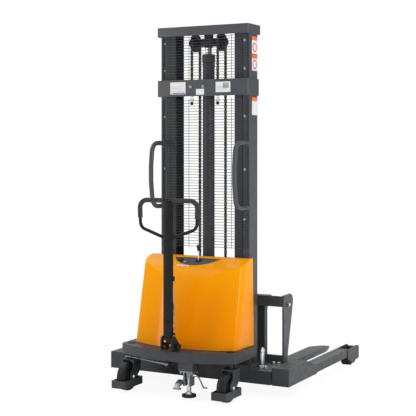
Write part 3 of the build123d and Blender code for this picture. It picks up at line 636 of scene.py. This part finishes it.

# ---- base frame and straddle legs ---------------------------------------------------------------
# The base frame is a welded box of plate with an open sleeve at each end; a leg's square arm slides
# in each sleeve and is clamped by bolts, so the legs can be set to the width of the load.
# The mast's grey coat mixed darker for the base frame, legs, base plate, caster forks and forks: painted
# shade on the low parts near the floor.
base_grey = surface("base_grey", (0.03, 0.033, 0.037), 0.45, shine=0.3)
tone(base_grey, pattern(base_grey, "Noise", 4, 6), (0.026, 0.029, 0.033), (0.037, 0.04, 0.045))
gloss(base_grey, pattern(base_grey, "Noise", 26, 5), 0.36, 0.55)
relief(base_grey, pattern(base_grey, "Noise", 650, 2), 0.25, 0.5)
eased("base_frame", "chassis", "grey_paint", base_grey, 2.5)
for side in ("left", "right"):
    eased("leg_" + side, side + "_leg", "grey_paint", base_grey, 3.0)

# ---- leg clamp bolts ----------------------------------------------------------------------------
# Four hexagon bolts and a tall spacer bolt clamp each leg arm in its sleeve. Zinc plated, with
# washers; the spacer is a turned sleeve under a nut and a domed end.
STUD_X = 364
STUD_Y = 48
SLEEVE_TOP = 135
bm = bmesh.new()
for side_x in (-1, 1):
    for x, y in ((371, 12), (402, 12), (396, 136), (427, 136)):
        hex_head(bm, UPRIGHT, at(side_x * x, y, SLEEVE_TOP), 19, 12, 13)
    turned(bm, [(0, 135), (17, 135), (17, 138), (13.5, 139), (13.5, 211), (12, 213), (0, 213)], UPRIGHT,
           at(side_x * STUD_X, STUD_Y, 0), 28)
    turned(bm, [(0, 213), (8, 213), (8, 220), (0, 220)], UPRIGHT, at(side_x * STUD_X, STUD_Y, 0), 20)
    hex_head(bm, UPRIGHT, at(side_x * STUD_X, STUD_Y, 218), 24, 16, 15)
    turned(bm, [(0, 235), (7, 235), (7, 241), (5, 243), (0, 243)], UPRIGHT,
           at(side_x * STUD_X, STUD_Y, 0), 20)
own_piece(set_up("leg_clamp_hexagons", bm, zinc, 30), "chassis", "zinc", "leg_clamp_bolts")

# ---- load rollers -------------------------------------------------------------------------------
# A cast polyurethane roller turns in the tip of each leg: tread bonded on a steel core with a
# bearing at each end. The tread is smooth black with a moulding line round the middle.
tyre_black = surface("tyre_black", (0.01, 0.01, 0.01), 0.5, shine=0.22)
gloss(tyre_black, pattern(tyre_black, "Noise", 50, 5), 0.4, 0.62)
tone(tyre_black, pattern(tyre_black, "Noise", 30, 5), (0.007, 0.007, 0.007), (0.013, 0.013, 0.013))
relief(tyre_black, pattern(tyre_black, "Noise", 320, 3), 0.2, 0.5)
for side in ("left", "right"):
    low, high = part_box("load_roller_" + side)
    bm = bmesh.new()
    turned(bm, [(26, -27), (34, -28.5), (37, -26.5), (38, -23), (38, -0.8), (37.6, 0), (38, 0.8), (38, 23),
                (37, 26.5), (34, 28.5), (26, 27), (26, -27)], ALONG_X, (low + high) / 2, 48)
    own_piece(set_up("load_roller_tread_" + side, bm, tyre_black, 32), "load_roller_" + side[0],
              "polyurethane", "load_roller_" + side)
    bm = bmesh.new()
    turned(bm, [(9.1, -29), (16, -29), (17, -27.5), (24, -27.5), (26.1, -28.5), (26.1, 28.5), (24, 27.5),
                (17, 27.5), (16, 29), (9.1, 29), (9.1, -29)], ALONG_X, (low + high) / 2, 36)
    own_piece(set_up("load_roller_core_" + side, bm, roller_steel, 32), "load_roller_" + side[0],
              "roller_steel")

# ---- base plate ---------------------------------------------------------------------------------
# A steel plate with a turned-down skirt, bowed at the back, carries the casters and the tiller.
# Caster bearings are closed from above by pressed plastic caps.
eased("base_plate", "chassis", "grey_paint", base_grey, 2.5)
bm = bmesh.new()
for side_x in (-315, 315):
    turned(bm, [(0, 260), (24, 260), (24, 262.5), (22, 264.8), (15, 265.6), (13, 264.6), (0, 264.8)], UPRIGHT,
           at(side_x, -250, 0), 40)
own_piece(set_up("bearing_caps", bm, moulded_black, 30), "chassis", "black_plastic", "plate_caps")

# ---- body cover ---------------------------------------------------------------------------------
# A glossy orange moulding, 4 mm thick, hides the battery and the pump: flat sides, a bowed back that
# leans in towards the top, and a shoulder that slopes and has a crescent window cut for the panel.
# It is screwed down from the front. Its orange is painted darker in the low middle and lighter and yellower
# towards the sides and the top: painted shade and painted highlight.
COVER_HALF = 330
COVER_FRONT = 8
COVER_FOOT = 261
COVER_TOP = 760
COVER_BACK = at(0, 374.75, COVER_FOOT)
BACK_SWEEP = 59.73
LEAN_FROM = at(0, 697.6, COVER_TOP)
bm = bmesh.new()
front_left = bm.verts.new(at(-COVER_HALF, COVER_FRONT, COVER_FOOT))
corner = bm.verts.new(at(-COVER_HALF, -200, COVER_FOOT))
bm.edges.new((front_left, corner))
spun = bmesh.ops.spin(bm, geom=[corner], cent=COVER_BACK, axis=UPRIGHT, angle=math.radians(BACK_SWEEP),
                      steps=26)
far_corner = [g for g in spun["geom_last"] if isinstance(g, bmesh.types.BMVert)][0]
front_right = bm.verts.new(at(COVER_HALF, COVER_FRONT, COVER_FOOT))
bm.edges.new((far_corner, front_right))
foot_edges = list(bm.edges)
grown = bmesh.ops.extrude_edge_only(bm, edges=foot_edges)["geom"]
head = [g for g in grown if isinstance(g, bmesh.types.BMVert)]
bmesh.ops.translate(bm, verts=head, vec=(0, 0, 0.499))
bmesh.ops.scale(bm, verts=head, vec=(324 / COVER_HALF, 78 / 88, 1),
                space=Matrix.Translation(-LEAN_FROM))
bmesh.ops.translate(bm, verts=[v for v in head if v.co.y > at(0, 0, 0).y], vec=(0, -0.0784, 0))
bm.verts.ensure_lookup_table()
uprights = [e for e in bm.edges if abs(e.verts[0].co.z - e.verts[1].co.z) > 0.4
            and len(e.link_faces) == 2 and e.calc_face_angle() > math.radians(20)]
bmesh.ops.bevel(bm, geom=uprights, offset=0.034, offset_type="OFFSET", segments=8, profile=0.5,
                affect="EDGES", material=-1)
for level in (COVER_FOOT, COVER_TOP):
    rim = [e for e in bm.edges if e.is_boundary and all(abs(v.co.z - level / 1000) < 1e-5 for v in e.verts)]
    tips = [v for v in {v for e in rim for v in e.verts} if v.co.y > at(0, 0, 0).y]
    rim.append(bm.edges.new(tips))
    bmesh.ops.edgeloop_fill(bm, edges=rim)
front_rim = [e for e in bm.edges if len(e.link_faces) == 1]
bmesh.ops.edgeloop_fill(bm, edges=front_rim)
SHOULDER_MIDDLE, SHOULDER_RADIUS = at(0, -66.06, 576.9), 0.1415
cuts = [(at(0, -34, 746), (0, -2, 54)), (at(0, -34, 746), (0, -40, 90))]
for degrees in (119, 126, 133, 140, 147, 153, 158):
    out = Vector((0, math.cos(math.radians(degrees)), math.sin(math.radians(degrees))))
    cuts.append((SHOULDER_MIDDLE + out * SHOULDER_RADIUS, out))
for place, out in cuts:
    cut = bmesh.ops.bisect_plane(bm, geom=list(bm.verts) + list(bm.edges) + list(bm.faces), dist=1e-6,
                                 plane_co=place, plane_no=Vector(out).normalized(), clear_outer=True)
    rim = [g for g in cut["geom_cut"] if isinstance(g, bmesh.types.BMEdge)]
    bmesh.ops.edgeloop_fill(bm, edges=rim)
bmesh.ops.remove_doubles(bm, verts=bm.verts, dist=0.0006)
bmesh.ops.recalc_face_normals(bm, faces=bm.faces)
open_faces = [f for f in bm.faces if f.normal.z < -0.9 or f.normal.y > 0.9]
bmesh.ops.delete(bm, geom=open_faces, context="FACES_ONLY")
bmesh.ops.delete(bm, geom=[e for e in bm.edges if not e.link_faces], context="EDGES")
crease = [e for e in bm.edges if len(e.link_faces) == 2 and e.calc_face_angle() > math.radians(17)
          and max(v.co.z for v in e.verts) > 0.5]
bmesh.ops.bevel(bm, geom=crease, offset=0.011, offset_type="OFFSET", segments=5, profile=0.5, affect="EDGES",
                material=-1, clamp_overlap=True)
for level in (320, 380, 440, 500, 550):
    bmesh.ops.bisect_plane(bm, geom=list(bm.verts) + list(bm.edges) + list(bm.faces), dist=1e-6,
                           plane_co=at(0, 0, level), plane_no=UPRIGHT)
orange_gloss = surface("orange_gloss", (0.74, 0.24, 0.0), 0.3, shine=0.05)
orange_tree = orange_gloss.node_tree
# Painted light: a round gradient from the low middle of the cover darkens it there and lightens its sides and
# top, as painted shade and painted highlight.
spot = orange_tree.nodes.new("ShaderNodeTexCoord")
spread = orange_tree.nodes.new("ShaderNodeMapping")
spread.inputs["Location"].default_value = (-0.15, 0, -0.95)
spread.inputs["Scale"].default_value = (2.1, 0, 2.6)
painted_light_ball = orange_tree.nodes.new("ShaderNodeTexGradient")
painted_light_ball.gradient_type = "SPHERICAL"
orange_tree.links.new(spot.outputs["Object"], spread.inputs["Vector"])
orange_tree.links.new(spread.outputs["Vector"], painted_light_ball.inputs["Vector"])
tone(orange_gloss, painted_light_ball.outputs["Fac"], (0.79, 0.295, 0.0), (0.71, 0.205, 0.0), 0.0, 0.75)
gloss(orange_gloss, pattern(orange_gloss, "Noise", 14, 4), 0.22, 0.3)
relief(orange_gloss, pattern(orange_gloss, "Noise", 120, 2), 0.06, 0.2)
shader = orange_gloss.node_tree.nodes["Principled BSDF"]
shader.inputs["Coat Weight"].default_value = 0.15
shader.inputs["Coat Roughness"].default_value = 0.08
cover = set_up("cover_shell", bm, orange_gloss, 24)
wall = cover.modifiers.new("wall", "SOLIDIFY")
wall.thickness = 0.004
wall.offset = -1

SLOPE = math.atan2(40, 90)
PANEL = at(0, -40, 736)


def on_slope(bm, verts, x=0.0, y=0.0, z=0.0):
    """Lays verts made flat round the origin onto the sloping shoulder, at millimetres from its centre."""
    tilt = Matrix.Rotation(SLOPE, 3, "X")
    bmesh.ops.translate(bm, verts=verts, vec=Vector((x, y, z)) / 1000)
    bmesh.ops.rotate(bm, verts=verts, cent=(0, 0, 0), matrix=tilt)
    bmesh.ops.translate(bm, verts=verts, vec=PANEL)


def crescent(bm, grow, foot, thick):
    """A disc segment with its straight edge towards the mast, raised from foot; returns its lid."""
    tip = bm.verts.new(((-150 - grow) / 1000, grow / 1000, foot / 1000))
    spun = bmesh.ops.spin(bm, geom=[tip], cent=(0, 0.08384, foot / 1000), axis=UPRIGHT,
                          angle=math.radians(121.6), steps=36)
    far_tip = [g for g in spun["geom_last"] if isinstance(g, bmesh.types.BMVert)][0]
    bm.edges.new((tip, far_tip))
    face = bmesh.ops.edgeloop_fill(bm, edges=list(bm.edges))["faces"]
    grown = bmesh.ops.extrude_face_region(bm, geom=face)["geom"]
    lid = [g for g in grown if isinstance(g, bmesh.types.BMFace)]
    bmesh.ops.translate(bm, verts=list(lid[0].verts), vec=(0, 0, thick / 1000))
    return lid


bm = bmesh.new()
crescent(bm, 1.0, -25, 60)
on_slope(bm, list(bm.verts))
cutter = set_up("cutter", bm, orange_gloss)
window = cover.modifiers.new("window", "BOOLEAN")
window.operation = "DIFFERENCE"
window.object = cutter
bpy.context.view_layer.update()
whole = bpy.data.meshes.new_from_object(cover.evaluated_get(bpy.context.evaluated_depsgraph_get()))
bpy.data.objects.remove(cutter)
bpy.data.objects.remove(cover)
bm = bmesh.new()
bm.from_mesh(whole)
lips = [e for e in bm.edges if len(e.link_faces) == 2 and e.calc_face_angle() > math.radians(60)
        and all(abs(v.co.x) < 0.152 for v in e.verts) and max(v.co.z for v in e.verts) > 0.6]
bmesh.ops.bevel(bm, geom=lips, offset=0.0016, offset_type="OFFSET", segments=3, profile=0.5, affect="EDGES",
                material=-1, clamp_overlap=True)
cover = set_up("cover_moulding", bm, orange_gloss, 35)
even = cover.modifiers.new("even_shading", "WEIGHTED_NORMAL")
even.keep_sharp = True
even.weight = 100
own_piece(cover, "chassis", "orange_plastic", "body_cover")

# ---- control panel, key switch and gauge --------------------------------------------------------
# A crescent of grained grey plastic let into the shoulder of the cover. It holds the key switch,
# the charge gauge and the gate of the lift lever, and has a raised rim.
panel_grey = surface("panel_grey", (0.035, 0.036, 0.039), 0.55)
tone(panel_grey, pattern(panel_grey, "Voronoi", 700), (0.022, 0.023, 0.025), (0.06, 0.062, 0.066), 0.1, 0.8)
gloss(panel_grey, pattern(panel_grey, "Noise", 200, 3), 0.45, 0.65)
relief(panel_grey, pattern(panel_grey, "Voronoi", 700), 0.3, 0.6)
GAUGE = (-98, -30)
KEY = (-60, -45)
bm = bmesh.new()
lid = crescent(bm, 0.0, 0, 4.5)
bmesh.ops.inset_region(bm, faces=lid, thickness=0.003, use_even_offset=True)
bmesh.ops.inset_region(bm, faces=lid, thickness=0.0015, depth=-0.0025, use_even_offset=True)
on_slope(bm, list(bm.verts), z=-0.5)
panel = set_up("panel_crescent", bm, panel_grey, 30)
own_piece(panel, "chassis", "panel_plastic", "control_panel")

bm = bmesh.new()
made = turned(bm, [(0, 0), (17, 0), (17, 4.5), (15.5, 5.5), (14.5, 4), (0, 4)], UPRIGHT, (0, 0, 0), 40)
on_slope(bm, made, *GAUGE, 1)
own_piece(set_up("charge_gauge", bm, moulded_black, 30), "chassis", "black_plastic")
dial_dark = surface("dial_dark", (0.03, 0.035, 0.03), 0.2)
gloss(dial_dark, pattern(dial_dark, "Noise", 50, 3), 0.16, 0.26)
bm = bmesh.new()
made = turned(bm, [(0, 5.2), (13, 5.2), (13.5, 4.8)], UPRIGHT, (0, 0, 0), 40)
on_slope(bm, made, *GAUGE, 1)
own_piece(set_up("gauge_dial", bm, dial_dark, 30), "chassis", "label")

bm = bmesh.new()
made = turned(bm, [(0, -2), (8.9, -2), (8.9, 3), (12.5, 3.2), (12.5, 5.4), (11, 6.2), (8.5, 6.4), (7.5, 8),
                   (0, 8)], UPRIGHT, (0, 0, 0), 36)
on_slope(bm, made, *KEY)
old = set(bm.verts)
bmesh.ops.create_cube(bm, size=1)
made = [v for v in bm.verts if v not in old]
bmesh.ops.scale(bm, verts=made, vec=(0.0026, 0.016, 0.018))
edges = list({e for v in made for e in v.link_edges})
bmesh.ops.bevel(bm, geom=edges, offset=0.001, offset_type="OFFSET", segments=2, profile=0.5, affect="EDGES",
                material=-1)
on_slope(bm, [v for v in bm.verts if v not in old], *KEY, 16)
own_piece(set_up("key_and_barrel", bm, dull_and_shaded_zinc, 32), "key", "zinc", "key_switch")

# ---- lift lever ---------------------------------------------------------------------------------
# A plated steel rod with a turned black knob on its head. It tilts on a round boss across its foot,
# and rises through a moulded rubber gaiter pressed into the panel.
LEVER_X = 15
bm = bmesh.new()
bent_tube(bm, [(LEVER_X, -66, 722), (LEVER_X, -62.8, 790)], 3.6, 10, 16)
drum(bm, ALONG_X, at(LEVER_X, -66.8, 717.5), 6.8, 10.6, 24, 0.8)
own_piece(set_up("lever_rod", bm, zinc, 32), "lever", "zinc", "lift_lever")
bm = bmesh.new()
turned(bm, [(0, 782), (6, 782), (7, 783), (7.5, 788), (10.5, 796), (12, 804), (11.6, 811), (9, 816), (5, 818),
            (0, 818.3)], UPRIGHT, at(LEVER_X, -62.8, 0), 32)
own_piece(set_up("lever_knob", bm, moulded_black, 40), "lever", "black_plastic")
rubber = surface("rubber", (0.014, 0.014, 0.014), 0.62)
gloss(rubber, pattern(rubber, "Noise", 60, 4), 0.55, 0.72)
tone(rubber, pattern(rubber, "Noise", 40, 4), (0.011, 0.011, 0.011), (0.019, 0.019, 0.019))
relief(rubber, pattern(rubber, "Noise", 900, 2), 0.1, 0.5)
bm = bmesh.new()
made = turned(bm, [(11.4, 0), (18, 0), (18, 2.5), (16.5, 4), (14.5, 4), (15.3, 5.5), (14, 7), (12.8, 7),
                   (13.2, 8.3), (12, 9.5)], UPRIGHT, (0, 0, 0), 32)
on_slope(bm, made, LEVER_X, -26, 1.5)
own_piece(set_up("lever_gaiter", bm, rubber, 40), "chassis", "rubber")

# ---- battery and hydraulic power unit -----------------------------------------------------------
# Under the cover stand a maintenance-free battery in a black case and the pump: a motor can, a
# small oil tank and a valve block, all bolted to the base plate.
nodes["battery"].data.materials[0] = moulded_black
nodes["hydraulic_power_unit"].data.materials[0] = cast_black

# ---- casters ------------------------------------------------------------------------------------
# Two steered casters carry the back. Each has a folded and welded steel fork with a low bumper
# ring round a wheel: a black tyre on a nylon hub, on a bolt with a lock nut.
for side, side_x in (("left", -315), ("right", 315)):
    letter = side[0]
    eased("caster_fork_" + side, "caster_" + letter, "grey_paint", base_grey, 2.0)
    hub = at(side_x, -304, 80)
    bm = bmesh.new()
    turned(bm, [(53, -23), (57, -25), (68, -25), (74, -23.5), (78, -19), (79.6, -13), (80, -6), (80, 6),
                (79.6, 13), (78, 19), (74, 23.5), (68, 25), (57, 25), (53, 23), (53, -23)], ALONG_X, hub, 64)
    own_piece(set_up("caster_tyre_" + side, bm, tyre_black, 32), "caster_wheel_" + letter, "polyurethane",
              "caster_wheel_" + side)
    bm = bmesh.new()
    turned(bm, [(8.1, -30), (15, -30), (16, -29), (16, -25), (22, -24), (24, -17), (44, -16), (48, -22),
                (53.2, -23), (53.2, 23), (48, 22), (44, 16), (24, 17), (22, 24), (16, 25), (16, 29), (15, 30),
                (8.1, 30), (8.1, -30)], ALONG_X, hub, 48)
    own_piece(set_up("caster_hub_" + side, bm, moulded_black, 32), "caster_wheel_" + letter, "black_plastic")
    bm = bmesh.new()
    for out in (-1, 1):
        hex_head(bm, (out, 0, 0), at(side_x + out * 38, -304, 80), 17, 7, 11)
        drum(bm, ALONG_X, at(side_x + out * 46.5, -304, 80), 4.5, 3, 16, 0.6)
    own_piece(set_up("caster_axle_ends_" + side, bm, zinc, 30), "caster_" + letter, "zinc")

# ---- steering rods ------------------------------------------------------------------------------
# A short drag link joins the tiller's arm to the left caster, and a long tie rod joins the two
# casters: plated round bar with flat eyes and nuts.
# The drag link takes the darker zinc as painted shade.
nodes["drag_link"].data.materials[0] = dull_and_shaded_zinc
nodes["cross_tie_rod"].data.materials[0] = cast_black

# ---- steering head ------------------------------------------------------------------------------
# A black welded bracket turns in the base plate; its two cheeks hold the tiller's tilt pin between
# turned bosses, with a yellow grease cap. A moulded switch is screwed on beside it.
TILLER_Y = -385
TILT_Z = 318
eased("steer_head", "steering_head", "black_steel", cast_black, 1.2)
bm = bmesh.new()
for out in (-1, 1):
    turned(bm, [(0, 0), (15, 0), (15, 4), (13, 6), (9, 6.5), (9, 9), (0, 9)], (out, 0, 0),
           at(out * 36, TILLER_Y, TILT_Z), 32)
block(bm, (-18, -409, 279), (-4, -396, 297), 2)
own_piece(set_up("tilt_pin_bosses", bm, cast_black, 32), "steering_head", "black_steel")
yellow = surface("yellow", (0.85, 0.5, 0.01), 0.4)
gloss(yellow, pattern(yellow, "Noise", 60, 3), 0.3, 0.5)
bm = bmesh.new()
turned(bm, [(0, 0), (5, 0), (5, 4), (3, 7), (0, 7.5)], (0, -1, 0), at(-11, -402, TILT_Z), 20)
own_piece(set_up("grease_cap", bm, yellow, 35), "steering_head", "black_steel")
bm = bmesh.new()
block(bm, (37, -372, 276), (59, -346, 300), 3)
block(bm, (41, -377, 281), (55, -370, 294), 2)
own_piece(set_up("tilt_switch", bm, moulded_black, 35), "steering_head", "black_plastic")

# ---- tiller -------------------------------------------------------------------------------------
# The drawbar is a flat rectangular tube on the tilt pin; a bent round tube welded to its head makes
# the handle loop, and a sprung release rod runs down its right side. All black, but for the rod.
LOOP_TOP = 1085
black_paint = surface("black_paint", (0.008, 0.008, 0.009), 0.42, shine=0.14)
tone(black_paint, pattern(black_paint, "Noise", 60, 4), (0.006, 0.006, 0.007), (0.011, 0.011, 0.012))
gloss(black_paint, pattern(black_paint, "Noise", 90, 3), 0.36, 0.5)
relief(black_paint, pattern(black_paint, "Noise", 500, 2), 0.2, 0.4)
bm = bmesh.new()
block(bm, (-26, -397, 345), (26, -373, 1086), 4, 3)
block(bm, (-24, -396, 312), (24, -374, 352), 3)
drum(bm, ALONG_X, at(0, TILLER_Y, TILT_Z), 18, 56, 32, 1.5)
for half in (-1, 1):
    bent_tube(bm, [(half * 10, TILLER_Y, LOOP_TOP), (half * 182, TILLER_Y, LOOP_TOP),
                   (half * 177, TILLER_Y, 934), (half * 10, TILLER_Y, 875.5)], 9, 42, 20)
block(bm, (26, -393, 645), (37, -377, 672), 2.5)
block(bm, (26, -391, 352), (41, -379, 364), 2)
turned(bm, [(0, 0), (8, 0), (8, 5), (6, 7), (0, 7)], (0, -1, 0), at(0, -397, 420), 24)
own_piece(set_up("tiller_tube", bm, black_paint, 35), "tiller_arm", "black_steel", "tiller")
bm = bmesh.new()
bent_tube(bm, [(30, TILLER_Y, 655), (29.5, TILLER_Y, 560), (34, TILLER_Y, 480), (34, TILLER_Y, 362)],
          2.4, 40, 12)
for z in range(424, 520, 5):
    turned(bm, [(2, 0), (4.6, 0.8), (4.6, 3.2), (2, 4)], UPRIGHT, at(34, TILLER_Y, z), 14)
own_piece(set_up("release_rod", bm, dull_and_shaded_zinc, 35), "tiller_arm", "zinc")
orange_film = surface("orange_film", (0.85, 0.13, 0.01), 0.35)
gloss(orange_film, pattern(orange_film, "Noise", 60, 3), 0.28, 0.42)
bm = bmesh.new()
drum(bm, UPRIGHT, at(34, TILLER_Y, 403), 4.6, 16, 16, 1)
own_piece(set_up("release_rod_tag", bm, orange_film, 35), "tiller_arm", "orange_plastic")

# ---- tiller grips -------------------------------------------------------------------------------
# Foam-rubber sleeves slipped over the loop from the column to half-way down each side, with a
# closed-cell skin and a rounded lip at both ends.
grip_foam = surface("grip_foam", (0.016, 0.016, 0.017), 0.68)
gloss(grip_foam, pattern(grip_foam, "Noise", 80, 4), 0.58, 0.75)
tone(grip_foam, pattern(grip_foam, "Voronoi", 900), (0.011, 0.011, 0.012), (0.022, 0.022, 0.023), 0.1, 0.8)
relief(grip_foam, pattern(grip_foam, "Voronoi", 900), 0.25, 0.6)
bm = bmesh.new()
for half in (-1, 1):
    bent_tube(bm, [(half * 27, TILLER_Y, LOOP_TOP), (half * 182, TILLER_Y, LOOP_TOP),
                   (half * 179, TILLER_Y, 988)], 13.3, 43, 24)
    for place, way in ((at(half * 30, TILLER_Y, LOOP_TOP), (half, 0, 0)),
                       (at(half * 179, TILLER_Y, 991), UPRIGHT)):
        turned(bm, [(9, -3), (12.5, -3), (14, -1.5), (14, 1.5), (12.5, 3), (9, 3)], way, place, 28)
own_piece(set_up("grip_sleeves", bm, grip_foam, 40), "tiller_arm", "rubber", "tiller_grip")

# ---- floor lock ---------------------------------------------------------------------------------
# A foot brake hangs under the base plate: a bright plunger with a rubber pad is pushed to the floor
# by a cast pedal, and a bent wire lever lets it go. Body and pedal are zinc plated and dulled.
eased("floor_lock_body", "chassis", "zinc", dull_and_shaded_zinc, 0.8)
eased("floor_lock_pedal", "lock_pedal", "zinc", dull_and_shaded_zinc, 1.0)
bm = bmesh.new()
LOCK = at(99, -330, 0)
turned(bm, [(0, 36), (13, 36), (13, 37), (11, 40), (13, 44), (13, 216), (12, 218), (0, 218)],
       UPRIGHT, LOCK, 32)
turned(bm, [(0, 26), (20, 26), (20, 33), (17, 36), (0, 36.5)], UPRIGHT, LOCK, 32)
own_piece(set_up("lock_stem", bm, zinc, 32), "lock_plunger", "zinc", "floor_lock_plunger")
bm = bmesh.new()
turned(bm, [(0, 12), (37, 12), (39, 13), (40, 15.5), (40, 19), (38.5, 20.5), (38.5, 22), (40, 23.5), (39, 26),
            (33, 28), (22, 28.5), (0, 28.5)], UPRIGHT, LOCK, 40)
own_piece(set_up("lock_pad", bm, rubber, 35), "lock_plunger", "rubber")
bm = bmesh.new()
turned(bm, [(4.2, -5), (8, -5), (9, -4), (9, 4), (8, 5), (4.2, 5), (4.2, -5)],
       ALONG_X, at(128, -329, 130), 24)
bent_tube(bm, [(129, -329, 132), (139, -325, 132), (144, -296, 112), (147, -252, 50), (149, -216, 42)],
          4.2, 20, 14)
own_piece(set_up("release_lever", bm, zinc, 35), "lock_release", "zinc", "floor_lock_release")

# ---- carriage and forks -------------------------------------------------------------------------
# The carriage is welded from flat bars and runs in the inner mast; a round shaft across its front
# carries two forged forks that slide sideways, with a bolted retainer at each end.
eased("carriage_frame", "carriage", "grey_paint", powder_grey, 2.0)
for side in ("left", "right"):
    eased("fork_" + side, side + "_fork", "grey_paint", base_grey, 2.0)
nodes["fork_shaft"].data.materials[0] = powder_grey
bm = bmesh.new()
for out in (-1, 1):
    hex_head(bm, (out, 0, 0), at(out * 439, 248, 464), 17, 7, 11)
own_piece(set_up("retainer_bolts", bm, zinc, 30), "carriage", "zinc")

# ---- rating plates and stickers -----------------------------------------------------------------
# Printed films on the mid beam and on the right channel. They are blank here: a white panel,
# plain bars of colour and a plain ring, without any words or signs.
film_white = surface("film_white", (0.62, 0.63, 0.63), 0.35)
tone(film_white, pattern(film_white, "Noise", 90, 4), (0.55, 0.56, 0.57), (0.68, 0.68, 0.67))
gloss(film_white, pattern(film_white, "Noise", 30, 3), 0.28, 0.42)
film_grey = surface("film_grey", (0.3, 0.31, 0.32), 0.4)
gloss(film_grey, pattern(film_grey, "Noise", 30, 3), 0.3, 0.45)
film_blue = surface("film_blue", (0.03, 0.06, 0.4), 0.35)
gloss(film_blue, pattern(film_blue, "Noise", 30, 3), 0.28, 0.42)
films = {film_white: [], film_grey: [], film_blue: [], yellow: [], orange_film: []}
for left, right, foot, top in ((-208, -106, 1686, 1756), (-36, 16, 1680, 1714), (92, 186, 1692, 1752)):
    films[film_white].append(((left, -0.9, foot), (right, 0, top)))
    for line in range(3, int((top - foot) / 9)):
        films[film_grey].append(((left + 6, -1, top - line * 9),
                                 (right - 10 - 7 * (line % 3), -0.8, top - line * 9 + 2)))
films[film_grey].append(((138, -1, 1716), (176, -0.8, 1746)))
films[film_blue].append(((-190, -1, 1689), (-109, -0.8, 1695)))
films[yellow].append(((-205, -1, 1689), (-192, -0.8, 1702)))
for foot, top in ((1911, 2011), (1815, 1906), (1561, 1662)):
    films[film_white].append(((290, 68, foot), (290.8, 138, top - 21)))
    films[orange_film].append(((290, 68, top - 20), (290.9, 138, top)))
for finish, boxes in films.items():
    bm = bmesh.new()
    for near, far in boxes:
        block(bm, near, far)
    name = finish.name + "_labels"
    if finish is film_white:
        own_piece(set_up(name, bm, finish), "chassis", "label", "rating_plates")
    else:
        own_piece(set_up(name, bm, finish), "chassis", "label")
red_film = surface("red_film", (0.55, 0.03, 0.02), 0.35)
gloss(red_film, pattern(red_film, "Noise", 30, 3), 0.28, 0.42)
bm = bmesh.new()
for z in (1950, 1851):
    turned(bm, [(20, 0), (20, 1), (27, 1), (27, 0), (20, 0)], ALONG_X, at(290.1, 103, z), 36)
own_piece(set_up("plain_rings", bm, red_film), "chassis", "label")
film_sheet = bmesh.new()
bmesh.ops.create_cube(film_sheet, size=1)
bmesh.ops.scale(film_sheet, verts=film_sheet.verts, vec=(0.078, 0.013, 0.0006))
on_slope(film_sheet, list(film_sheet.verts), -53, -97, 7.2)
own_piece(set_up("shoulder_label", film_sheet, film_white), "chassis", "label")
